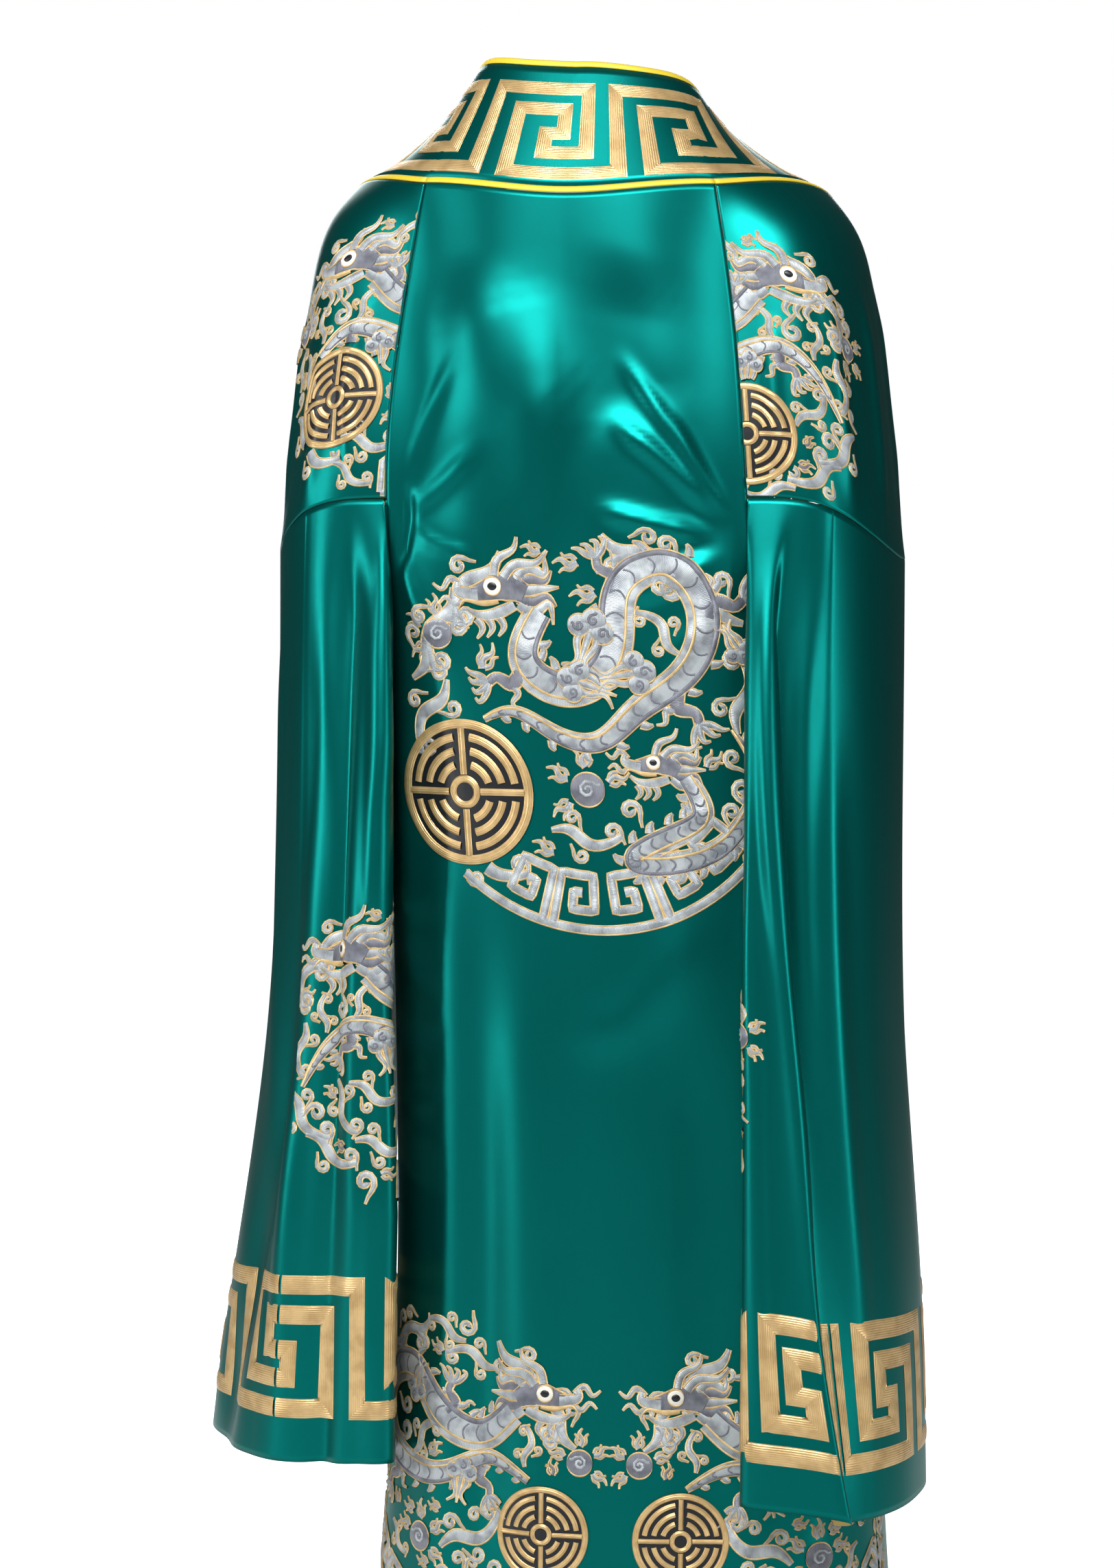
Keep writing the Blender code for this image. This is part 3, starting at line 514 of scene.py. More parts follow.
SLEEVE_CREASES = {
    # Column shares: 0 is the inner back edge, 0.38 the outside, 0.58 the front, 1 the edge again
    "left": (
        Crease(((0.045, -0.305), (0.046, -0.400), (0.060, -0.500), (0.090, -0.590)),
               0.006, 0.0050, 0.6),
        Crease(((0.066, -0.318), (0.074, -0.560), (0.110, -0.740)), 0.007, 0.0042, -0.5),
        Crease(((0.030, -0.420), (0.036, -0.760), (0.050, -1.170)), 0.011, 0.0050, 0.5),
        Crease(((0.120, -0.330), (0.135, -0.520), (0.160, -0.800)), 0.012, 0.0036, 0.5),
        Crease(((0.185, -0.480), (0.190, -0.800), (0.200, -1.175)), 0.014, 0.0058, -0.6),
        Crease(((0.270, -0.370), (0.265, -0.620), (0.280, -0.980)), 0.015, 0.0048, 0.5),
        Crease(((0.345, -0.420), (0.350, -0.800), (0.340, -1.180)), 0.016, 0.0060, 0.5),
        Crease(((0.440, -0.350), (0.430, -0.560), (0.450, -0.860)), 0.013, 0.0045, -0.5),
        Crease(((0.520, -0.450), (0.530, -0.820), (0.515, -1.180)), 0.014, 0.0056, 0.6),
        Crease(((0.600, -0.330), (0.605, -0.600), (0.590, -0.900)), 0.012, 0.0040, 0.5),
        Crease(((0.100, -0.860), (0.125, -1.000), (0.120, -1.175)), 0.012, 0.0040, 0.4),
    ),
    "right": (
        Crease(((0.030, -0.330), (0.038, -0.560), (0.050, -0.860)), 0.010, 0.0034, 0.5),
        Crease(((0.075, -0.620), (0.085, -0.900), (0.100, -1.200)), 0.012, 0.0040, -0.5),
        Crease(((0.235, -0.330), (0.240, -0.520), (0.262, -0.740)), 0.010, 0.0048, 0.6),
        Crease(((0.285, -0.345), (0.305, -0.700), (0.330, -1.100)), 0.013, 0.0052, 0.6),
        Crease(((0.345, -0.400), (0.352, -0.620), (0.372, -0.900)), 0.010, 0.0040, -0.5),
        Crease(((0.365, -0.760), (0.385, -1.000), (0.392, -1.205)), 0.013, 0.0050, 0.5),
        Crease(((0.425, -0.360), (0.430, -0.700), (0.440, -1.190)), 0.014, 0.0050, 0.5),
        Crease(((0.500, -0.340), (0.505, -0.580), (0.495, -0.860)), 0.012, 0.0042, -0.5),
        Crease(((0.570, -0.460), (0.560, -0.800), (0.565, -1.190)), 0.014, 0.0050, 0.5),
    ),
}
# How far the inner edge of a hanging sleeve leans to the body near the cuff
SLEEVE_LEAN = {"left": 0.009, "right": 0.0}
LEAN_SHARE = 0.06
LEAN_TOP, LEAN_FADE = -0.75, 0.20
UPPER_CREASES = {
    # Column shares: 0 is the back seam, 1 the front seam
    "left": (
        Crease(((0.10, -0.090), (0.14, -0.180), (0.10, -0.285)), 0.008, 0.0036, 0.6),
        Crease(((0.24, -0.130), (0.22, -0.220), (0.26, -0.320)), 0.010, 0.0038, -0.5),
        Crease(((0.40, -0.100), (0.38, -0.200), (0.42, -0.320)), 0.012, 0.0044, 0.5),
        Crease(((0.60, -0.090), (0.62, -0.200), (0.58, -0.330)), 0.012, 0.0040, -0.5),
        Crease(((0.80, -0.130), (0.76, -0.210), (0.80, -0.310)), 0.010, 0.0034, 0.5),
    ),
    "right": (
        Crease(((0.12, -0.120), (0.10, -0.200), (0.14, -0.290)), 0.008, 0.0030, 0.6),
        Crease(((0.27, -0.060), (0.29, -0.180), (0.31, -0.325)), 0.010, 0.0050, 0.6),
        Crease(((0.40, -0.090), (0.42, -0.190), (0.40, -0.330)), 0.010, 0.0042, -0.6),
        Crease(((0.56, -0.080), (0.58, -0.190), (0.55, -0.335)), 0.012, 0.0040, 0.5),
        Crease(((0.78, -0.120), (0.76, -0.210), (0.80, -0.310)), 0.010, 0.0034, -0.5),
    ),
}
FRONT_CREASES = (
    Crease(((0.25, -0.400), (0.32, -0.760), (0.28, -1.485)), 0.020, 0.0050, 0.5),
    Crease(((0.55, -0.480), (0.50, -0.900), (0.54, -1.300)), 0.018, -0.0040, 0.4),
    Crease(((0.76, -0.360), (0.72, -0.640), (0.76, -1.000)), 0.012, 0.0036, -0.5),
    Crease(((0.50, -0.330), (0.30, -0.360), (0.10, -0.330)), 0.009, 0.0030, 0.5),
    Crease(((0.66, -0.980), (0.70, -1.250), (0.68, -1.486)), 0.016, 0.0044, 0.5),
)
BAND_CREASES = (
    Crease(((0.330, 0.020), (0.345, -0.040), (0.360, -0.090)), 0.010, 0.0020, 0.4),
    Crease(((0.655, 0.030), (0.670, -0.030), (0.650, -0.090)), 0.010, 0.0020, 0.4),
)


EDGE_MARGIN = 0.0012


class ClothMap:
    """Finds the place on a cloth of a point given in metres along and across it."""

    STEP = 0.0025

    def __init__(self, points: np.ndarray, outward: float, origin: float,
                 even_height: float | None = None) -> None:
        """Lay an even lattice over a grid.

        Args:
            points: the cloth's grid, rows downwards.
            outward: the sense in which the grid's normals face out.
            origin: column share where the distance across is zero.
            even_height: if given, the cloth counts as this tall everywhere and its columns
                keep their distance, so that a band of pattern follows both its edges.
        """
        rows, columns = points.shape[:2]
        across = row_lengths(points)
        if even_height is not None:
            across = np.repeat(across[rows // 2][None], rows, axis=0)
        at = origin * (columns - 1)
        zero = np.array([np.interp(at, np.arange(columns), line) for line in across])
        across = across - zero[:, None]
        self.s = np.arange(across.min(), across.max() + self.STEP, self.STEP)
        level = np.empty((rows, len(self.s), 3))
        for row in range(rows):
            level[row] = self.pick(points[row], np.interp(self.s, across[row], np.arange(columns)))
        down = row_lengths(level.transpose(1, 0, 2)).T
        height = down[-1] - down
        if even_height is not None:
            height = height * (even_height / height[0])
        self.t = np.arange(0.0, height.max() + self.STEP, self.STEP)
        self.points = np.empty((len(self.t), len(self.s), 3))
        for column in range(len(self.s)):
            place = np.interp(self.t, height[::-1, column], np.arange(rows)[::-1])
            self.points[:, column] = self.pick(level[:, column], place)
        normal = np.cross(np.gradient(self.points, axis=1), np.gradient(self.points[::-1],
                                                                        axis=0)[::-1])
        length = np.maximum(np.linalg.norm(normal, axis=2), 1e-12)
        self.normals = outward * normal / length[..., None]
        self.low = across[::-1, 0]
        self.high = across[::-1, -1]
        self.row_heights = height.mean(axis=1)[::-1]
        self.top = height[0]

    @staticmethod
    def pick(line: np.ndarray, place: np.ndarray) -> np.ndarray:
        """Points of a polyline at fractional places."""
        low = np.clip(place.astype(int), 0, len(line) - 2)
        share = np.clip(place - low, 0.0, 1.0)[:, None]
        return line[low] * (1.0 - share) + line[low + 1] * share

    def inside(self, s: np.ndarray, t: np.ndarray, margin: float = EDGE_MARGIN) -> np.ndarray:
        """Whether places lie on the cloth."""
        low = np.interp(t, self.row_heights, self.low) + margin
        high = np.interp(t, self.row_heights, self.high) - margin
        top = np.interp(s, self.s, self.top) - margin
        return (s > low) & (s < high) & (t > margin) & (t < top)

    def clamped(self, s: np.ndarray, t: np.ndarray, margin: float = EDGE_MARGIN
                ) -> tuple[np.ndarray, np.ndarray]:
        """Places moved onto the cloth's edge where they lie beyond it."""
        t = np.clip(t, margin, np.interp(s, self.s, self.top) - margin)
        low = np.interp(t, self.row_heights, self.low) + margin
        high = np.interp(t, self.row_heights, self.high) - margin
        return np.clip(s, low, high), t

    def side(self, height: float, sense: float) -> float:
        """How far the cloth's edge lies from its origin at a height, on one side."""
        edge = self.high if sense > 0.0 else -self.low
        return float(np.interp(height, self.row_heights, edge))

    def at(self, s: np.ndarray, t: np.ndarray, lift: np.ndarray) -> np.ndarray:
        """Points above the cloth at the given places."""
        i = np.clip(t / self.STEP, 0.0, len(self.t) - 1.001)
        j = np.clip((s - self.s[0]) / self.STEP, 0.0, len(self.s) - 1.001)
        row, column = i.astype(int), j.astype(int)
        a, b = (i - row)[:, None], (j - column)[:, None]

        def blend(field_: np.ndarray) -> np.ndarray:
            near = field_[row, column] * (1 - b) + field_[row, column + 1] * b
            far = field_[row + 1, column] * (1 - b) + field_[row + 1, column + 1] * b
            return near * (1 - a) + far * a

        normal = blend(self.normals)
        normal /= np.maximum(np.linalg.norm(normal, axis=1), TINY)[:, None]
        return blend(self.points) + normal * lift[:, None]


def placed(name: str, data: bpy.types.ID) -> bpy.types.Object:
    """A new object in the scene."""
    item = bpy.data.objects.new(name, data)
    bpy.context.scene.collection.objects.link(item)
    return item


# Finishes: base colour, second colour, metallic, roughness, sheen
LOOKS = {
    Finish.SATIN: ((0.000, 0.168, 0.150), (0.000, 0.128, 0.116), 0.86, 0.365, 0.00),
    Finish.LINING: ((0.560, 0.400, 0.130), (0.430, 0.290, 0.080), 0.10, 0.55, 0.20),
    Finish.PIPING: ((0.800, 0.600, 0.035), (0.640, 0.460, 0.020), 0.10, 0.50, 0.20),
    Finish.GOLD: ((0.820, 0.600, 0.290), (0.400, 0.250, 0.090), 0.45, 0.36, 0.00),
    Finish.GOLD_BAND: ((0.700, 0.490, 0.230), (0.400, 0.255, 0.100), 0.50, 0.36, 0.00),
    Finish.SILVER: ((0.490, 0.530, 0.550), (0.110, 0.127, 0.150), 0.25, 0.40, 0.10),
    Finish.PALE: ((0.850, 0.820, 0.740), (0.600, 0.580, 0.520), 0.10, 0.45, 0.10),
    Finish.GREY: ((0.230, 0.240, 0.280), (0.060, 0.065, 0.085), 0.25, 0.42, 0.10),
    Finish.BLACK: ((0.012, 0.014, 0.018), (0.004, 0.005, 0.007), 0.20, 0.35, 0.10),
}
THREADED = (Finish.GOLD, Finish.GOLD_BAND, Finish.SILVER, Finish.GREY)
THREAD_WIDTH = {Finish.GOLD: 0.0007, Finish.GOLD_BAND: 0.0019, Finish.SILVER: 0.0012,
                Finish.GREY: 0.0010}
SATIN_GLANCE = 0.2
# The weave: threads, slubs drawn out along Z, and what each adds to height and shade
WEAVE_COUNT = 900.0
WEAVE_WAVE = {"Distortion": 0.6, "Detail": 1.0}
SLUB_STRETCH = (340.0, 340.0, 14.0)
SLUB_NOISE = {"Scale": 1.0}
PUCKER_NOISE = {"Scale": 5.0, "Detail": 1.5, "Distortion": 0.3}
WEAVE_HEIGHT = 0.012
PUCKER_SHADE, SLUB_SHADE = 0.9, 0.1
SLUB, SATIN_PUCKER, PLAIN_PUCKER = 0.03, 2.5, 0.3
# The thread: its noises, and what each adds to the shade; the crest's share is a painted highlight
# on each thread's top, with painted shade in the grooves between threads
THREAD_NOISE = {"Scale": 260.0, "Detail": 3.0}
DRIFT_NOISE = {"Scale": 55.0}
DRIFT_RANGE = {"From Min": 0.36, "From Max": 0.60}
CREST_PAINTED_HIGHLIGHT, NOISE_SHADE, DRIFT_SHADE = 0.28, 0.17, 0.55
# Bump strength and distance, and how far the roughness swings with the shade
THREAD_BUMP = {"Strength": 0.55, "Distance": 0.0004}
WEAVE_BUMP = {"Strength": 0.30, "Distance": 0.0016}
ROUGHNESS_SWING = 0.05


class Materials:
    """Builds each finish once, on two shared node groups."""

    def __init__(self) -> None:
        self.weave = self.weave_group()
        self.thread = self.thread_group()
        self.made: dict[Finish, bpy.types.Material] = {}

    @staticmethod
    def group(name: str, inputs: Sequence[tuple[str, float]]) -> bpy.types.NodeTree:
        """A node group with float inputs, a Shade output and a Height output."""
        tree = bpy.data.node_groups.new(name, "ShaderNodeTree")
        tree.interface.new_socket("Place", in_out="INPUT", socket_type="NodeSocketVector")
        for label, value in inputs:
            socket = tree.interface.new_socket(label, in_out="INPUT",
                                               socket_type="NodeSocketFloat")
            socket.default_value = value
        for label in ("Shade", "Height"):
            tree.interface.new_socket(label, in_out="OUTPUT", socket_type="NodeSocketFloat")
        return tree

    @staticmethod
    def maths(tree: bpy.types.NodeTree, operation: str, first: object, second: object
              ) -> bpy.types.NodeSocket:
        """A Math node fed by two sockets or numbers."""
        node = tree.nodes.new("ShaderNodeMath")
        node.operation = operation
        for socket, value in zip(node.inputs, (first, second)):
            if isinstance(value, (int, float)):
                socket.default_value = value
            else:
                tree.links.new(value, socket)
        return node.outputs[0]

    def weighted(self, tree: bpy.types.NodeTree, *terms: tuple) -> bpy.types.NodeSocket:
        """The sum of sockets, each times a number or another socket."""
        parts = [self.maths(tree, "MULTIPLY", socket, factor) for socket, factor in terms]
        total = parts[0]
        for part in parts[1:]:
            total = self.maths(tree, "ADD", total, part)
        return total

    @staticmethod
    def node(tree: bpy.types.NodeTree, kind: str, values: dict[str, float]) -> bpy.types.Node:
        """A node with some of its inputs set."""
        node = tree.nodes.new(kind)
        for label, value in values.items():
            node.inputs[label].default_value = value
        return node

    def noise(self, tree: bpy.types.NodeTree, place: bpy.types.NodeSocket,
              values: dict[str, float]) -> bpy.types.NodeSocket:
        """A noise texture read at a place."""
        node = self.node(tree, "ShaderNodeTexNoise", values)
        tree.links.new(place, node.inputs["Vector"])
        return node.outputs["Fac"]

    def weave_group(self) -> bpy.types.NodeTree:
        """Fine satin weave with slubs and soft puckers, from object coordinates."""
        tree = self.group("weave", (("Count", WEAVE_COUNT), ("Slub", 0.5), ("Pucker", 0.5)))
        entry = tree.nodes.new("NodeGroupInput")
        leave = tree.nodes.new("NodeGroupOutput")
        waves = []
        for direction in ("X", "Z"):
            wave = self.node(tree, "ShaderNodeTexWave", WEAVE_WAVE)
            wave.bands_direction = direction
            tree.links.new(entry.outputs["Place"], wave.inputs["Vector"])
            tree.links.new(entry.outputs["Count"], wave.inputs["Scale"])
            waves.append(wave.outputs["Fac"])
        stretch = tree.nodes.new("ShaderNodeVectorMath")
        stretch.operation = "MULTIPLY"
        stretch.inputs[1].default_value = SLUB_STRETCH
        tree.links.new(entry.outputs["Place"], stretch.inputs[0])
        slub = self.noise(tree, stretch.outputs[0], SLUB_NOISE)
        pucker = self.noise(tree, entry.outputs["Place"], PUCKER_NOISE)
        cross = self.maths(tree, "ADD", waves[0], waves[1])
        height = self.weighted(tree, (cross, WEAVE_HEIGHT), (slub, entry.outputs["Slub"]),
                               (pucker, entry.outputs["Pucker"]))
        shade = self.weighted(tree, (pucker, PUCKER_SHADE), (slub, SLUB_SHADE))
        tree.links.new(shade, leave.inputs["Shade"])
        tree.links.new(height, leave.inputs["Height"])
        return tree

    def thread_group(self) -> bpy.types.NodeTree:
        """Parallel threads across or along a stroke, from its UV in metres, with a painted
        highlight on each thread's crest.
        """
        tree = self.group("thread", (("Width", 0.001), ("Turn", 0.0), ("Wander", 0.4)))
        entry = tree.nodes.new("NodeGroupInput")
        leave = tree.nodes.new("NodeGroupOutput")
        split = tree.nodes.new("ShaderNodeSeparateXYZ")
        tree.links.new(entry.outputs["Place"], split.inputs[0])
        along = self.maths(tree, "MULTIPLY", split.outputs["X"],
                           self.maths(tree, "SUBTRACT", 1.0, entry.outputs["Turn"]))
        across = self.maths(tree, "MULTIPLY", split.outputs["Y"], entry.outputs["Turn"])
        noise = self.noise(tree, entry.outputs["Place"], THREAD_NOISE)
        phase = self.maths(tree, "DIVIDE", self.maths(tree, "ADD", along, across),
                           entry.outputs["Width"])
        wander = self.maths(tree, "MULTIPLY", noise, entry.outputs["Wander"])
        turn = self.maths(tree, "MULTIPLY", self.maths(tree, "ADD", phase, wander), math.tau)
        wave = self.maths(tree, "SINE", turn, 0.0)
        crest = self.maths(tree, "ADD", self.maths(tree, "MULTIPLY", wave, 0.5), 0.5)
        drift = self.noise(tree, entry.outputs["Place"], DRIFT_NOISE)
        spread = self.node(tree, "ShaderNodeMapRange", DRIFT_RANGE)
        tree.links.new(drift, spread.inputs["Value"])
        # The thread crests are painted lighter and the grooves between them darker (painted
        # highlight and painted shade), on top of the random tone of the noises
        shade = self.weighted(tree, (crest, CREST_PAINTED_HIGHLIGHT), (noise, NOISE_SHADE),
                              (spread.outputs["Result"], DRIFT_SHADE))
        tree.links.new(shade, leave.inputs["Shade"])
        tree.links.new(crest, leave.inputs["Height"])
        return tree

    def get(self, finish: Finish) -> bpy.types.Material:
        """The material of a finish, built when first asked for."""
        if finish not in self.made:
            self.made[finish] = self.build(finish)
        return self.made[finish]

    def build(self, finish: Finish) -> bpy.types.Material:
        """A Principled material with its own weave or thread."""
        light, dark, metallic, roughness, sheen = LOOKS[finish]
        material = bpy.data.materials.new("look_" + finish.value)
        material.use_nodes = True
        material.diffuse_color = (*light, 1.0)
        tree = material.node_tree
        shader = tree.nodes["Principled BSDF"]
        shader.inputs["Metallic"].default_value = metallic
        shader.inputs["Sheen Weight"].default_value = sheen
        if finish is Finish.SATIN:
            shader.inputs["Specular IOR Level"].default_value = SATIN_GLANCE
        shader.inputs["Sheen Roughness"].default_value = 0.4
        place = tree.nodes.new("ShaderNodeTexCoord")
        detail = tree.nodes.new("ShaderNodeGroup")
        threaded = finish in THREADED
        detail.node_tree = self.thread if threaded else self.weave
        tree.links.new(place.outputs["UV" if threaded else "Object"], detail.inputs["Place"])
        if threaded:
            detail.inputs["Width"].default_value = THREAD_WIDTH[finish]
            detail.inputs["Turn"].default_value = 1.0 if finish is Finish.GOLD_BAND else 0.0
        else:
            detail.inputs["Slub"].default_value = SLUB
            detail.inputs["Pucker"].default_value = (
                SATIN_PUCKER if finish is Finish.SATIN else PLAIN_PUCKER)
        mix = tree.nodes.new("ShaderNodeMix")
        mix.data_type = "RGBA"
        mix.inputs["A"].default_value = (*dark, 1.0)
        mix.inputs["B"].default_value = (*light, 1.0)
        tree.links.new(detail.outputs["Shade"], mix.inputs["Factor"])
        tree.links.new(mix.outputs["Result"], shader.inputs["Base Color"])
        rough = self.node(tree, "ShaderNodeMapRange", {"To Min": roughness + ROUGHNESS_SWING,
                                                       "To Max": roughness - ROUGHNESS_SWING})
        tree.links.new(detail.outputs["Shade"], rough.inputs["Value"])
        tree.links.new(rough.outputs["Result"], shader.inputs["Roughness"])
        bump = self.node(tree, "ShaderNodeBump", THREAD_BUMP if threaded else WEAVE_BUMP)
        tree.links.new(detail.outputs["Height"], bump.inputs["Height"])
        tree.links.new(bump.outputs["Normal"], shader.inputs["Normal"])
        return material


@dataclass
class Cloth:
    """One finished cloth piece: its grid, the sense of its normals and its object."""

    name: str
    points: np.ndarray
    outward: float
    item: bpy.types.Object
    trims: list[bpy.types.Object] = field(default_factory=list)

    def declare(self) -> None:
        """Work out the lengths of the grid along and across its rows; nothing uses them."""
        across, down = row_lengths(self.points), row_lengths(self.points.transpose(1, 0, 2))


# Rows and columns of the grids
BACK_GRID, UPPER_GRID, LOWER_GRID = (261, 101), (81, 101), (150, 201)
FRONT_ROWS, LOWER_SECTIONS, LINING_ROWS = 221, 19, 14
BAND_ROWS, PIPING_ROWS = 17, 5
PIPING_CROWN, PIPING_THINNER = 0.0005, 0.0006
# Gaps at each piece's seams: left, right, top and bottom
TRIMS = {
    "back": (0.0002, 0.0002, 0.0005, 0.0),
    "front": (0.0004, 0.0, 0.0012, 0.0),
    "upper": (0.0003, 0.0005, 0.0012, 0.0004),
    "lower": (0.0, 0.0, 0.0004, 0.0),
}


class Tailor:
    """Cuts the cloth pieces as fine shells and hangs them on the frame."""

    def __init__(self, drape: Drape, materials: Materials) -> None:
        self.drape = drape
        self.materials = materials
        self.cloths: dict[str, Cloth] = {}

    def shell(self, name: str, points: np.ndarray, wall: float, finish: Finish, outward: float,
              closed: bool = False, inner: Finish | None = Finish.LINING) -> Cloth:
        """Lay a fine grid on the points and give it its wall.

        Args:
            name: the CAD node that the piece stands for.
            points: rows downwards, columns across.
            wall: thickness in metres.
            finish: the outer finish.
            outward: 1 or -1, the sense in which the grid's normals face out.
            closed: whether the grid is a tube.
            inner: the finish of the inside, or none for the same one.

        Returns:
            The cloth piece.
        """
        rows, columns = points.shape[0] - 1, points.shape[1] - 1
        mesh = bmesh.new()
        bmesh.ops.create_grid(mesh, x_segments=columns, y_segments=rows, size=0.5)
        for vertex in mesh.verts:
            column = round((vertex.co.x + 0.5) * columns)
            row = round((vertex.co.y + 0.5) * rows)
            vertex.co = points[row, column]
        if closed:
            bmesh.ops.remove_doubles(mesh, verts=mesh.verts, dist=0.000001)
        if outward < 0.0:
            bmesh.ops.reverse_faces(mesh, faces=mesh.faces)
        data = bpy.data.meshes.new(name)
        mesh.to_mesh(data)
        mesh.free()
        data.shade_smooth()
        item = placed("cloth_" + name, data)
        data.materials.append(self.materials.get(finish))
        thick = item.modifiers.new("wall", "SOLIDIFY")
        thick.thickness = wall
        thick.offset = 0.0
        if inner is not None:
            data.materials.append(self.materials.get(inner))
            thick.material_offset = 1
        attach(item, "root")
        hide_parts(name)
        cloth = Cloth(name, points, outward, item)
        self.cloths[name] = cloth
        return cloth

    @staticmethod
    def trimmed(points: np.ndarray, left: float, right: float, top: float, bottom: float
                ) -> np.ndarray:
        """Pull a grid's edges in by seam gaps."""
        points = points.copy()
        for index, beyond, gap in ((0, 1, left), (-1, -2, right)):
            step = points[:, beyond] - points[:, index]
            points[:, index] += step * gap / np.linalg.norm(step, axis=1)[:, None]
        for index, beyond, gap in ((0, 1, top), (-1, -2, bottom)):
            step = points[beyond] - points[index]
            points[index] += step * gap / np.linalg.norm(step, axis=1)[:, None]
        return points

    def back(self) -> None:
        """The back panel."""
        drape = self.drape
        stations = np.linspace(-2.0, 2.0, BACK_GRID[1])
        top = drape.neck_height(np.abs(stations))
        grid = []
        for share in np.linspace(0.0, 1.0, BACK_GRID[0]):
            height = top + (HEM - top) * share
            spread = np.abs(stations) * drape.split_station(height) / 2.0
            left, right = drape.body(spread, height, 1.0), drape.body(spread, height, -1.0)
            grid.append(drape.tilted(np.where((stations > 0.0)[:, None], left, right)))
        points = creased(np.array(grid), BACK_CREASES, 1.0)
        self.shell("back", self.trimmed(points, *TRIMS["back"]), WALL, Finish.SATIN, 1.0)

    def front(self, hand: str) -> None:
        """A front panel, from the side seam to the band."""
        side, drape = SIDES[hand], self.drape
        stations = np.concatenate([np.linspace(2.0, 4.0 - TIP_SHARE, 29)[:-1],
                                   np.linspace(4.0 - TIP_SHARE, 4.0 - BAND_GAP, 17)])
        tip = np.clip((stations - TIP_GAP - 4.0) / TIP_SHARE + 1.0, 0.0, 1.0)
        top = ARMPIT + (FRONT_TIP - ARMPIT) * tip
        grid = []
        for share in np.linspace(0.0, 1.0, FRONT_ROWS):
            height = top + (HEM - top) * share
            split = drape.split_station(np.minimum(height, ARMPIT))
            spread = 4.0 - (4.0 - stations) * (4.0 - split) / 2.0
            grid.append(drape.tilted(drape.body(spread, height, side)))
        points = creased(np.array(grid), FRONT_CREASES, side)
        self.shell("front_" + hand, self.trimmed(points, *TRIMS["front"]), WALL, Finish.SATIN,
                   side)

    def upper_sleeve(self, hand: str) -> None:
        """The shoulder piece, from the collar to the elbow seam."""
        side, drape = SIDES[hand], self.drape
        stations = np.linspace(0.0, 4.0, UPPER_GRID[1])
        grid = [drape.tilted(drape.shoulder(stations, np.full(stations.shape, fall), side))
                for fall in np.linspace(0.0, 1.0, UPPER_GRID[0])]
        points = creased(np.array(grid), UPPER_CREASES[hand], side)
        self.shell("sleeve_upper_" + hand, self.trimmed(points, *TRIMS["upper"]), WALL,
                   Finish.SATIN, side)

    def lower_sleeve(self, hand: str) -> None:
        """The hanging sleeve, a tube from the elbow seam to the cuff, and its cuff lining."""
        side, drape = SIDES[hand], self.drape
        stations = np.concatenate([np.linspace(0.0, 4.0, 33)[:-1], np.linspace(4.0, 7.0, 13)[:-1],
                                   np.linspace(7.0, 10.0, 13)])
        grid = []
        for share in np.linspace(0.0, 1.0, LOWER_SECTIONS):
            points = drape.sleeve(stations, share, hand)
            if share == 0.0:
                seam = drape.elbow_ring(stations, side)
                points = drape.clear_of_body(seam, side, FORK_CLEARANCE, FORK_SOFTNESS)
                points[:, 2] -= np.linalg.norm(points - seam, axis=1)
            grid.append(drape.tilted(points))
        coarse = np.array(grid)
        coarse[:, -1] = coarse[:, 0]
        fine = refined(coarse, *LOWER_GRID)
        fine[:, -1] = fine[:, 0]
        share = np.linspace(0.0, 1.0, fine.shape[1])
        near = np.exp(-(np.minimum(share, 1.0 - share) / LEAN_SHARE) ** 2)
        drop = np.clip((LEAN_TOP - fine[..., 2]) / LEAN_FADE, 0.0, 1.0)
        fine[..., 0] -= side * SLEEVE_LEAN[hand] * near * drop
        points = creased(fine, SLEEVE_CREASES[hand], side, closed=True)
        points[:, -1] = points[:, 0]
        points = self.trimmed(points, *TRIMS["lower"])
        self.shell("sleeve_lower_" + hand, points, WALL, Finish.SATIN, side, closed=True)
        ring = points[-LINING_ROWS:, :-1]
        ahead = np.roll(ring, -1, axis=1)[..., :2] - ring[..., :2]
        inward = np.stack([ahead[..., 1], -ahead[..., 0]], axis=2) * side
        inward /= np.maximum(np.linalg.norm(inward, axis=2), TINY)[..., None]
        inward = (inward + np.roll(inward, 1, axis=1)) / 2.0
        lining = ring.copy()
        lining[..., :2] += inward * (WALL + LINING_GAP)
        lining[..., 2] += LINING_SET_UP
        lining = np.concatenate([lining, lining[:, :1]], axis=1)
        self.shell("cuff_lining_" + hand, lining, WALL / 2, Finish.LINING, side, closed=True,
                   inner=None)

    def collar_strip(self, half: np.ndarray, low: np.ndarray, high: np.ndarray, rows: int,
                     sides: Sequence[float]) -> np.ndarray:
        """A strip of the collar between two shares of its width, over one side or both."""
        parts = []
        for side in sides:
            parts.append(np.array([self.drape.collar(half, high + (low - high) * share, side)
                                   for share in np.linspace(0.0, 1.0, rows)]))
        if len(parts) == 1:
            return parts[0]
        return np.concatenate([parts[1][:, :0:-1], parts[0]], axis=1)

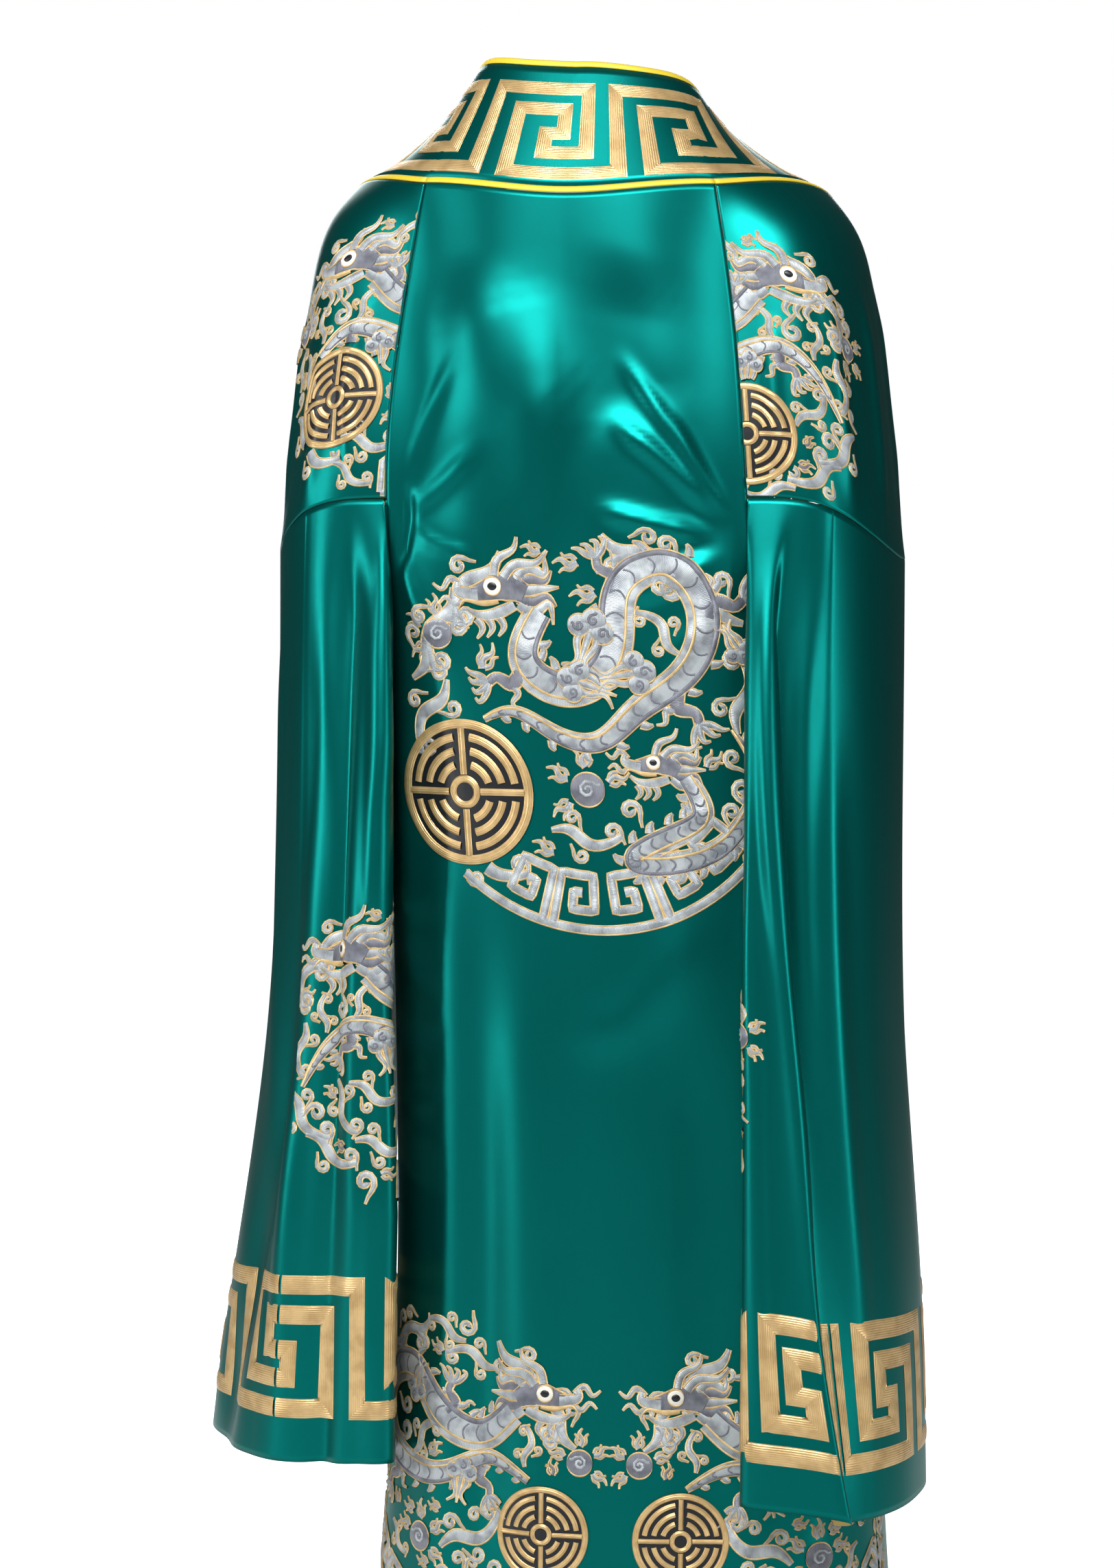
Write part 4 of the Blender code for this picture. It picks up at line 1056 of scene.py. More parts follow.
    def collar(self) -> None:
        """The collar band and its piping."""
        half = np.concatenate([np.linspace(0.0, 2.0, 29)[:-1], np.linspace(2.0, 6.0, 49)[:-1],
                               np.linspace(6.0, HEM_STATION, 101)])
        drape = self.drape
        width = np.linalg.norm(drape.outer_edge(half, 1.0) - drape.inner_edge(half, 1.0), axis=1)
        edge, gap = PIPING_WIDTH / width, SEAM / width
        both = (1.0, -1.0)
        band = self.collar_strip(half, edge + gap, 1.0 - edge - gap, BAND_ROWS, both)
        band = creased(band, BAND_CREASES, 1.0)
        self.shell("collar_band", band, BAND_WALL, Finish.SATIN, 1.0)
        none = np.zeros(half.shape)
        self.piping("piping_neck", self.collar_strip(half, 1.0 - edge, none + 1.0, PIPING_ROWS,
                                                     both), 1.0)
        near = half <= 2.0
        self.piping("piping_back", self.collar_strip(half[near], none[near], edge[near],
                                                     PIPING_ROWS, both), 1.0)
        far = half >= 2.0
        for hand, side in SIDES.items():
            strip = self.collar_strip(half[far], none[far], edge[far], PIPING_ROWS, (side,))
            self.piping("piping_" + hand, self.trimmed(strip, SEAM, 0.0, 0.0, 0.0), side)

    def piping(self, name: str, points: np.ndarray, outward: float) -> None:
        """A flat folded trim with a slightly rounded top, sewn to the band."""
        crown = np.sin(np.linspace(0.0, np.pi, points.shape[0]))[:, None, None]
        normal = grid_normals(points, False) * outward
        self.shell(name, points + normal * crown * PIPING_CROWN, PIPING_WALL - PIPING_THINNER,
                   Finish.PIPING, outward, inner=None)
        self.cloths["collar_band"].trims.append(self.cloths.pop(name).item)


ACROSS = np.array([-1.0, -0.66, 0.0, 0.66, 1.0])
CROWN = np.array([0.0, 0.72, 1.0, 0.72, 0.0])
NARROW = np.array([-1.0, 0.0, 1.0])
NARROW_CROWN = np.array([0.0, 1.0, 0.0])
# Height of thread over the cloth's middle surface, and of each layer of padding
SKIN, LAYER = 0.0008, 0.0005
# The crown of a ribbon: a share of its half width over a least height, up to a limit
MOST_RISE, RISE_SHARE, LEAST_RISE = 0.0012, 0.45, 0.0002
# Ribbons narrower than this are laid as a single cord
CORD_BELOW, CORD_HALF = 0.0013, 0.0005
OUTLINE_HALF, OUTLINE_RISE = 0.0009, 0.0009
# The medallion, in units of its radius: grounds, rings (place, half width), arcs (place, gap)
MEDALLION_GROUNDS = (0.25, 0.75)
MEDALLION_RINGS = ((0.94, 0.066), (0.18, 0.050))
MEDALLION_BAR = (0.24, 0.88, 0.050)
MEDALLION_ARCS = ((0.76, 0.16), (0.57, 0.22), (0.385, 0.33))
MEDALLION_ARC_HALF = 0.055
GROUND_LIFT, GOLD_LIFT, GOLD_RISE, ARC_RISE = 0.0016, 0.0018, 0.0014, 0.0013
FRET_STEP, FRET_RISE = 0.006, 0.0011
GOLDEN_ANGLE = math.pi * (3.0 - math.sqrt(5.0))
RIM_VINES = 13
LEAST_POINTS, MOST_POINTS = 14, 140
RIM_REACH = 0.88
HOOKS_BELOW = -0.62
# A square hook that stands on the rim's line
RIM_HOOK = ((0.0, 0.0), (0.0, 4.0), (4.0, 4.0), (4.0, 1.4), (1.7, 1.4), (1.7, 2.7), (2.7, 2.7))
RIM_HOOK_ACROSS, RIM_HOOK_UP = 5.6, 4.0
RIM_HOOK_HALF = 0.020
FILL_TRIES = 420
FILL_ROOMS = (0.115, 0.088, 0.050)
VINE_ROOM = 0.085
VINE_SHARE = 1.55


@dataclass(frozen=True)
class Stroke:
    """A raised stroke of thread in a motif's own plane, where the motif's radius is 1.

    Attributes:
        path: points along it, x to the right and y up as seen from outside.
        half: half widths along it.
        finish: its thread.
        level: layers of padding under it.
        outlined: whether a gold cord is couched along both its edges.
    """

    path: np.ndarray
    half: np.ndarray
    finish: Finish = Finish.SILVER
    level: float = 1.0
    outlined: bool = True


def curve(points: Sequence[Sequence[float]], count: int = 24) -> np.ndarray:
    """A smooth curve through points."""
    points = np.asarray(points, float)
    chord = np.concatenate([[0.0], np.cumsum(np.linalg.norm(np.diff(points, axis=0), axis=1))])
    return spline_weights(chord, np.linspace(0.0, chord[-1], count)) @ points


def widths(values: Sequence[float], count: int) -> np.ndarray:
    """Half widths eased between a few values."""
    return np.interp(np.linspace(0.0, len(values) - 1.0, count), np.arange(len(values)), values)


def turned(points: np.ndarray, x: float, y: float, size: float, angle: float,
           hand: float = 1.0) -> np.ndarray:
    """Points scaled, mirrored if hand is -1, turned by an angle in degrees and moved."""
    points = np.asarray(points, float) * np.array([1.0, hand]) * size
    c, s = math.cos(math.radians(angle)), math.sin(math.radians(angle))
    return points @ np.array([[c, s], [-s, c]]) + np.array([x, y])


def spot(x: float, y: float, place: tuple) -> np.ndarray:
    """One point of a small frame, placed by (x, y, size, angle, hand)."""
    return turned(np.array([[x, y]]), *place)[0]


def sideways(line: np.ndarray) -> np.ndarray:
    """Unit vectors to the left of a line, at each of its points."""
    ahead = np.gradient(line, axis=0)
    ahead /= np.maximum(np.linalg.norm(ahead, axis=1), TINY)[:, None]
    return np.column_stack([-ahead[:, 1], ahead[:, 0]])


def stroke(points: Sequence[Sequence[float]], half: Sequence[float], place: tuple,
           finish: Finish = Finish.SILVER, level: float = 1.0, outlined: bool = True,
           count: int = 18) -> Stroke:
    """A stroke given in a small frame of its own, placed by (x, y, size, angle, hand)."""
    return Stroke(turned(curve(points, count), *place),
                  widths(half, count) * place[2], finish, level, outlined)


def spiral(turns: float, tail: float, count: int = 26) -> np.ndarray:
    """A curl that winds in from its tail to its bulb."""
    angle = np.linspace(0.0, turns * math.tau, count)
    radius = 1.0 - 0.80 * (angle / angle[-1]) ** 0.8
    wound = np.column_stack([radius * np.cos(angle), radius * np.sin(angle)])
    lead = np.column_stack([np.ones(5), np.linspace(-tail, -0.12 * tail, 5)])
    lead[:, 0] += 0.35 * ((lead[:, 1] / max(tail, 0.01)) ** 2)
    return np.vstack([lead, wound])


def curl(x: float, y: float, size: float, angle: float, hand: float, turns: float,
         tail: float) -> Stroke:
    """A spiral tendril with a bulb at its end."""
    path = spiral(turns, tail)
    return Stroke(turned(path, x, y, size, angle, hand),
                  widths((0.06, 0.22, 0.27, 0.24, 0.22, 0.32), len(path)) * size)


def cloud(x: float, y: float, size: float, angle: float, layer: float = 1.0
          ) -> list[Stroke]:
    """A ruyi cloud: two lobes with curls on them, a third in front and trailing wisps."""
    place = (x, y, size, angle, 1.0)
    parts = []
    for bend in (-0.35, 0.0, 0.35):
        parts.append(stroke(((0.0, bend * 0.6), (-0.6, bend), (-1.2, bend * 0.4),
                             (-1.7, bend * 1.6)), (0.15, 0.12, 0.08, 0.02), place,
                            level=layer))
    for lobe_x, lobe_y, girth in ((0.0, 0.46, 0.42), (0.0, -0.46, 0.42), (0.34, 0.0, 0.46)):
        cx, cy = spot(lobe_x, lobe_y, place)
        parts.append(dot(cx, cy, girth * size, Finish.SILVER, layer + 0.8, True))
        path = turned(spiral(1.2, 0.1, 18), cx, cy, 0.52 * girth * size, angle + 200.0 * lobe_y)
        parts.append(Stroke(path, np.full(len(path), 0.055 * size), Finish.GREY, layer + 3.0,
                            False))
    return parts


# Path and half widths of each tongue
FLAME_TONGUES = (
    (((0.0, 0.0), (0.5, 0.16), (0.9, -0.12), (1.45, 0.12)), (0.19, 0.16, 0.11, 0.01)),
    (((0.1, 0.1), (0.4, 0.42), (0.75, 0.40), (1.05, 0.66)), (0.12, 0.11, 0.07, 0.01)),
    (((0.1, -0.1), (0.42, -0.34), (0.70, -0.28), (0.95, -0.52)), (0.12, 0.11, 0.07, 0.01)),
)


def flame(x: float, y: float, size: float, angle: float,
          finish: Finish = Finish.SILVER) -> list[Stroke]:
    """A tongue of flame with two side licks."""
    return [stroke(path, half, (x, y, size, angle, 1.0), finish) for path, half in FLAME_TONGUES]


def vine(x: float, y: float, size: float, angle: float, hand: float) -> list[Stroke]:
    """A long tendril with a curl at its tip and one on each side."""
    place = (x, y, size, angle, hand)
    parts = [stroke(((0.0, 0.0), (0.45, 0.16), (0.95, -0.02), (1.40, 0.16), (1.66, 0.44)),
                    (0.05, 0.13, 0.14, 0.11, 0.08), place)]
    for cx, cy, girth, heading in ((1.42, 0.46, 0.21, 20.0), (0.40, 0.46, 0.19, 10.0),
                                   (0.86, -0.34, 0.19, 200.0)):
        ox, oy = spot(cx, cy, place)
        parts.append(curl(ox, oy, girth * size, angle + hand * heading, hand, 1.1, 1.5))
    return parts


def trimmed_clear(part: Stroke, centre: np.ndarray, radius: float) -> Stroke | None:
    """The longest stretch of a stroke that stays out of a circle, if there is one."""
    out = np.linalg.norm(part.path - centre, axis=1) > radius
    if out.all():
        return part
    edges = np.flatnonzero(np.diff(np.concatenate([[0], out.astype(int), [0]])))
    runs = edges.reshape(-1, 2)
    if len(runs) == 0 or (runs[:, 1] - runs[:, 0]).max() < 4:
        return None
    low, high = runs[(runs[:, 1] - runs[:, 0]).argmax()]
    return replace(part, path=part.path[low:high], half=part.half[low:high])


def rim_fret(first: float, last: float, repeats: int, low: float, high: float
             ) -> list[Stroke]:
    """Square hooks that stand on a line along the rim, as at the foot of the roundels.

    Args:
        first: the angle where it starts, in degrees.
        last: the angle where it ends.
        repeats: how many hooks it has.
        low: its inner reach, in units of the radius.
        high: its outer reach.

    Returns:
        The rim's line and its hooks.
    """
    across = np.array([x for x, _ in RIM_HOOK])
    paths = [np.column_stack([np.linspace(0.0, repeats * RIM_HOOK_ACROSS, 40), np.zeros(40)])]
    for number in range(repeats):
        turned_over = RIM_HOOK_ACROSS - 1.0 - across if number % 2 else across
        corners = np.column_stack([turned_over + RIM_HOOK_ACROSS * number,
                                   [y for _, y in RIM_HOOK]])
        paths.append(np.vstack([np.linspace(a, b, 5)[:-1] for a, b
                                in zip(corners[:-1], corners[1:])] + [corners[-1:]]))
    parts = []
    for path in paths:
        angles = np.radians(first + (last - first) * path[:, 0] / (RIM_HOOK_ACROSS * repeats))
        reach = high - (high - low) * path[:, 1] / RIM_HOOK_UP
        parts.append(Stroke(np.column_stack([reach * np.cos(angles), reach * np.sin(angles)]),
                            np.full(len(path), RIM_HOOK_HALF), level=1.5))
    return parts


def dot(x: float, y: float, radius: float, finish: Finish, level: float,
        outlined: bool = False) -> Stroke:
    """A round spot, made as a short wide stroke."""
    along = np.sin(np.linspace(-0.5 * math.pi, 0.5 * math.pi, 13))
    return Stroke(np.column_stack([x + radius * along, np.full(13, y)]),
                  radius * np.sqrt(np.maximum(1.0 - along ** 2, 0.0)) + 0.0001, finish, level,
                  outlined)


def pearl(x: float, y: float, radius: float) -> list[Stroke]:
    """A pearl with a spiral on it and flames round it."""
    parts = [dot(x, y, radius, Finish.GREY, 2.0, True)]
    path = turned(spiral(1.4, 0.2, 22), x, y, radius * 0.6, 30.0)
    parts.append(Stroke(path, np.full(len(path), radius * 0.10), Finish.SILVER, 4.2, False))
    for angle in (20.0, 92.0, 150.0, 215.0):
        dx, dy = math.cos(math.radians(angle)), math.sin(math.radians(angle))
        parts += flame(x + 1.3 * radius * dx, y + 1.3 * radius * dy, radius * 0.95, angle)
    return parts


# The head in profile, facing right. Columns: path, half widths, finish, layers, outlined
HEAD_SHAPES = (
    (((-0.60, -0.06), (-0.20, 0.14), (0.20, 0.10), (0.52, 0.06)), (0.20, 0.30, 0.24, 0.15),
     Finish.GREY, 2.6, True),
    (((0.40, 0.04), (0.66, 0.08), (0.84, 0.20), (0.80, 0.34)), (0.15, 0.13, 0.11, 0.05),
     Finish.SILVER, 3.0, True),
    (((-0.35, -0.26), (0.1, -0.40), (0.5, -0.36), (0.70, -0.22)), (0.10, 0.12, 0.09, 0.02),
     Finish.SILVER, 2.2, True),
    (((-0.02, -0.15), (0.40, -0.14), (0.74, -0.06), (0.86, -0.22)), (0.05, 0.06, 0.05, 0.01),
     Finish.GOLD, 2.4, False),
    (((-0.2, 0.32), (-0.5, 0.56), (-0.92, 0.54), (-1.2, 0.78)), (0.10, 0.10, 0.07, 0.02),
     Finish.SILVER, 3.0, True),
    (((0.0, 0.38), (-0.15, 0.72), (-0.5, 0.88), (-0.6, 1.12)), (0.09, 0.09, 0.06, 0.02),
     Finish.SILVER, 2.9, True),
    (((0.74, 0.24), (0.98, 0.42), (1.14, 0.24), (1.34, 0.38)), (0.06, 0.06, 0.04, 0.01),
     Finish.SILVER, 1.6, True),
    (((0.70, 0.02), (0.94, -0.12), (1.10, 0.06), (1.28, -0.06)), (0.05, 0.05, 0.04, 0.01),
     Finish.SILVER, 1.5, True),
)
MANE_LEANS = (0.5, 0.24, 0.0, -0.26, -0.5)


def dragon_head(x: float, y: float, size: float, angle: float, hand: float) -> list[Stroke]:
    """A head in profile: skull, snout, jaw, horns, mane, whiskers and eye."""
    place = (x, y, size, angle, hand)
    parts = [stroke(path, half, place, finish, level, outlined)
             for path, half, finish, level, outlined in HEAD_SHAPES]
    for number, lean in enumerate(MANE_LEANS):
        reach = 1.35 - 0.12 * abs(number - 2)
        parts.append(stroke(((-0.45, lean * 0.5), (-0.8, lean * 0.9), (-1.05, lean * 0.6),
                             (-reach, lean * 1.5)), (0.12, 0.11, 0.07, 0.01), place,
                            Finish.GREY if number % 2 else Finish.SILVER, 1.6))
    for step in (0.05, 0.30, 0.52):
        parts.append(stroke(((step, -0.46), (step - 0.10, -0.66), (step + 0.05, -0.86)),
                            (0.07, 0.06, 0.01), place, level=1.4))
    eye_x, eye_y = spot(0.06, 0.17, place)
    parts += [dot(eye_x, eye_y, 0.19 * size, Finish.PALE, 5.0, True),
              dot(eye_x, eye_y, 0.10 * size, Finish.BLACK, 6.2)]
    return parts


def dragon_leg(x: float, y: float, size: float, angle: float, hand: float) -> list[Stroke]:
    """A bent leg with four claws and a wisp at its elbow."""
    place = (x, y, size, angle, hand)
    parts = [stroke(((0.0, 0.0), (0.42, 0.22), (0.72, -0.05), (1.05, 0.04)),
                    (0.22, 0.20, 0.14, 0.13), place, Finish.GREY, 1.8)]
    for claw in (-0.42, -0.14, 0.16, 0.44):
        parts.append(stroke(((1.02, 0.04), (1.24, 0.04 + claw * 0.7), (1.46, claw),
                             (1.52, claw - 0.14)), (0.09, 0.09, 0.06, 0.01), place, level=2.0))
    parts.append(stroke(((0.40, 0.28), (0.30, 0.55), (0.52, 0.72), (0.44, 0.95)),
                        (0.09, 0.08, 0.05, 0.01), place, level=1.3))
    return parts


def dragon_body(path: Sequence[Sequence[float]], half: Sequence[float], fin_side: float
                ) -> list[Stroke]:
    """A long scaled body with a row of fins on its back and a corded belly."""
    count = 90
    line, width = curve(path, count), widths(half, count)
    ahead = np.gradient(line, axis=0)
    ahead /= np.linalg.norm(ahead, axis=1)[:, None]
    out = np.column_stack([-ahead[:, 1], ahead[:, 0]])
    parts = [Stroke(line, width, Finish.SILVER, 2.0, True)]
    shaded = line + out * (fin_side * 0.80 * width)[:, None]
    parts.append(Stroke(shaded, 0.17 * width, Finish.GREY, 3.0, False))
    belly = line - out * (fin_side * 0.52 * width)[:, None]
    parts.append(Stroke(belly, np.full(count, 0.006), Finish.GOLD, 4.4, False))
    arc = np.linspace(-1.0, 1.0, 7)
    for k in range(3, count - 4, 3):
        bow = (line[k] + out[k] * (fin_side * (0.08 + 0.50 * arc) * width[k])[:, None]
               + ahead[k] * (0.022 * (1.0 - arc ** 2))[:, None])
        parts.append(Stroke(bow, np.full(7, 0.0045), Finish.GREY, 4.6, False))
    for k in range(4, count - 3, 4):
        root = line[k] + out[k] * fin_side * width[k] * 1.05
        tip = root + (out[k] * fin_side * 0.75 - ahead[k] * 0.75) * (0.030 + 0.42 * width[k])
        middle = (root + tip) / 2.0 + out[k] * fin_side * 0.010
        parts.append(Stroke(curve((root, middle, tip), 7), widths((0.020, 0.016, 0.003), 7),
                            Finish.SILVER, 1.2, True))
    return parts


@dataclass(frozen=True)
class RoundelPlan:
    """Where the parts of one roundel's design lie, in units of its radius."""

    body: tuple
    half: tuple
    fin_side: float
    head: tuple
    legs: tuple
    pearls: tuple
    clouds: tuple
    frets: tuple
    second_body: tuple = ()
    second_head: tuple = ()

    def strokes(self, kept_clear: tuple[float, float, float] | None) -> list[Stroke]:
        """Every stroke of the design, filled up with curls, flames and small clouds.

        Args:
            kept_clear: the centre and radius of a medallion, which nothing runs over.

        Returns:
            The strokes, the lowest first.
        """
        parts: list[Stroke] = []
        over = [part for item in self.clouds for part in cloud(*item, layer=3.4)]
        for number in range(RIM_VINES):
            angle = 360.0 * (number + 0.18 * math.sin(2.1 * number)) / RIM_VINES
            x, y = (RIM_REACH * part for part in (math.cos(math.radians(angle)),
                                                  math.sin(math.radians(angle))))
            if self.frets and y < HOOKS_BELOW:
                continue
            hand = 1.0 if number % 3 else -1.0
            parts += vine(x, y, 0.235, angle + 90.0 * hand + 14.0 * hand, hand)
        for item in self.frets:
            parts += rim_fret(*item)
        for item in self.legs:
            parts += dragon_leg(*item)
        parts += dragon_body(self.body, self.half, self.fin_side)
        parts += dragon_head(*self.head)
        if self.second_body:
            parts += dragon_body(self.second_body, tuple(0.66 * w for w in self.half),
                                 -self.fin_side)
            parts += dragon_head(*self.second_head)
        for item in self.pearls:
            parts += pearl(*item)
        parts += over
        if kept_clear is not None:
            centre, radius = np.array(kept_clear[:2]), kept_clear[2]
            cut = (trimmed_clear(part, centre, radius) for part in parts)
            parts = [part for part in cut if part is not None]
        return self.filled(parts, kept_clear)

    @staticmethod
    def filled(parts: list[Stroke], kept_clear: tuple[float, float, float] | None
               ) -> list[Stroke]:
        """Fill the gaps between all that is there with curls, clouds and flames."""
        spots = np.vstack([part.path for part in parts])
        reach = np.concatenate([part.half for part in parts])
        fill: list[Stroke] = []
        for number, least in ((n, room) for room in FILL_ROOMS for n in range(FILL_TRIES)):
            angle = GOLDEN_ANGLE * number
            distance = RIM_REACH * math.sqrt((number + 0.5) / FILL_TRIES)
            x, y = distance * math.cos(angle), distance * math.sin(angle)
            if kept_clear is not None:
                mx, my, mr = kept_clear
                if math.hypot(x - mx, y - my) < mr + 0.05:
                    continue
            free = float((np.hypot(spots[:, 0] - x, spots[:, 1] - y) - reach).min())
            if free < least:
                continue
            size = min(1.15 * free, 0.125)
            hand = 1.0 if number % 2 else -1.0
            heading = math.degrees(angle) + 75.0 * hand + 20.0 * math.sin(1.7 * number)
            if free > VINE_ROOM:
                start = spot(-0.8, 0.0, (x, y, VINE_SHARE * free, heading))
                added = vine(*start, VINE_SHARE * free, heading, hand)
            elif number % 3 == 0:
                added = [curl(x, y, 0.75 * size, heading, hand, 1.1, 1.4)]
            elif number % 3 == 1 and size > 0.09:
                added = cloud(x, y, 0.75 * size, heading)
            else:
                start = spot(-0.7, 0.0, (x, y, size, heading))
                added = flame(*start, 1.05 * size, heading,
                              Finish.GREY if number % 4 == 0 else Finish.SILVER)
            fill += added
            spots = np.vstack([spots] + [part.path for part in added])
            reach = np.concatenate([reach] + [part.half for part in added])
        return fill + parts


GREAT_PLAN = RoundelPlan(
    body=((-0.20, 0.52), (-0.28, 0.28), (-0.08, 0.16), (0.14, 0.34), (0.20, 0.64),
          (0.40, 0.74), (0.56, 0.54), (0.46, 0.24), (0.22, 0.06), (0.04, -0.08),
          (-0.16, -0.04), (-0.36, 0.06), (-0.56, -0.02)),
    half=(0.062, 0.074, 0.080, 0.082, 0.082, 0.080, 0.078, 0.072, 0.064, 0.052, 0.040, 0.026,
          0.008),
    fin_side=1.0, head=(-0.40, 0.60, 0.225, 186.0, -1.0),
    legs=((0.58, 0.50, 0.19, 24.0, 1.0), (0.42, 0.16, 0.18, -58.0, -1.0),
          (-0.30, 0.24, 0.17, 196.0, 1.0), (0.14, 0.62, 0.16, 112.0, -1.0)),
    pearls=((-0.70, 0.42, 0.070), (-0.02, -0.30, 0.080)),
    clouds=((0.04, 0.44, 0.125, 70.0), (-0.04, 0.20, 0.115, 160.0), (0.24, 0.24, 0.115, 10.0),
            (0.72, 0.34, 0.085, 300.0)),
    frets=((222.0, 324.0, 6, 0.70, 0.95),),
    second_body=((0.44, -0.24), (0.50, -0.42), (0.34, -0.52), (0.18, -0.62), (0.44, -0.62),
                 (0.66, -0.48), (0.76, -0.22), (0.66, -0.02)),
    second_head=(0.30, -0.20, 0.17, 178.0, -1.0),
)
SMALL_PLAN = RoundelPlan(
    body=((-0.22, 0.46), (0.00, 0.30), (0.24, 0.44), (0.46, 0.62), (0.66, 0.42), (0.54, 0.12),
          (0.24, 0.00), (-0.04, 0.06), (-0.32, 0.14), (-0.56, 0.00), (-0.72, -0.24)),
    half=(0.078, 0.092, 0.098, 0.100, 0.096, 0.090, 0.082, 0.070, 0.054, 0.034, 0.010),
    fin_side=1.0, head=(-0.42, 0.56, 0.27, 184.0, -1.0),
    legs=((0.60, 0.46, 0.20, 40.0, 1.0), (0.44, 0.06, 0.20, -60.0, -1.0),
          (-0.06, 0.34, 0.18, 100.0, 1.0), (-0.34, 0.10, 0.18, 236.0, 1.0)),
    pearls=((-0.82, 0.28, 0.075), (0.10, -0.36, 0.085)),
    clouds=((0.60, 0.26, 0.13, 200.0), (0.22, 0.46, 0.11, 290.0), (-0.14, 0.02, 0.11, 100.0)),
    frets=((266.0, 328.0, 4, 0.72, 0.93),),
)
HEM_PLAN = replace(
    SMALL_PLAN,
    body=((-0.48, 0.40), (-0.24, 0.24), (0.04, 0.38), (0.30, 0.58), (0.56, 0.44), (0.50, 0.14),
          (0.22, 0.00), (-0.06, 0.02), (-0.30, 0.12), (-0.50, 0.06), (-0.66, -0.04)),
    head=(-0.66, 0.48, 0.25, 184.0, -1.0),
    legs=((0.58, 0.50, 0.19, 40.0, 1.0), (0.42, 0.02, 0.19, -60.0, -1.0),
          (-0.04, 0.36, 0.17, 100.0, 1.0), (-0.26, 0.06, 0.17, 250.0, 1.0)),
    pearls=((-0.88, 0.13, 0.075), (0.16, -0.40, 0.085)),
)
# One unit of the running key fret: across in ninths of its pitch, up in sevenths of its height
KEY_CORNERS = ((0.0, 0.0), (0.0, 7.0), (7.0, 7.0), (7.0, 1.7), (4.2, 1.7), (4.2, 3.3),
               (5.4, 3.3), (5.4, 5.3), (2.0, 5.3), (2.0, 0.0))
KEY_ACROSS, KEY_UP = 9.0, 7.0


@dataclass(frozen=True)
class Fret:
    """A running key fret: its pitch, its height over all, its ribbon's width and its place.

    Attributes:
        base: its lower edge over the cloth's lower edge.
        shift: how far its first unit lies past the start.
        flipped: whether it runs the other way.
    """

    pitch: float
    height: float
    width: float
    base: float
    shift: float = 0.0
    flipped: bool = False


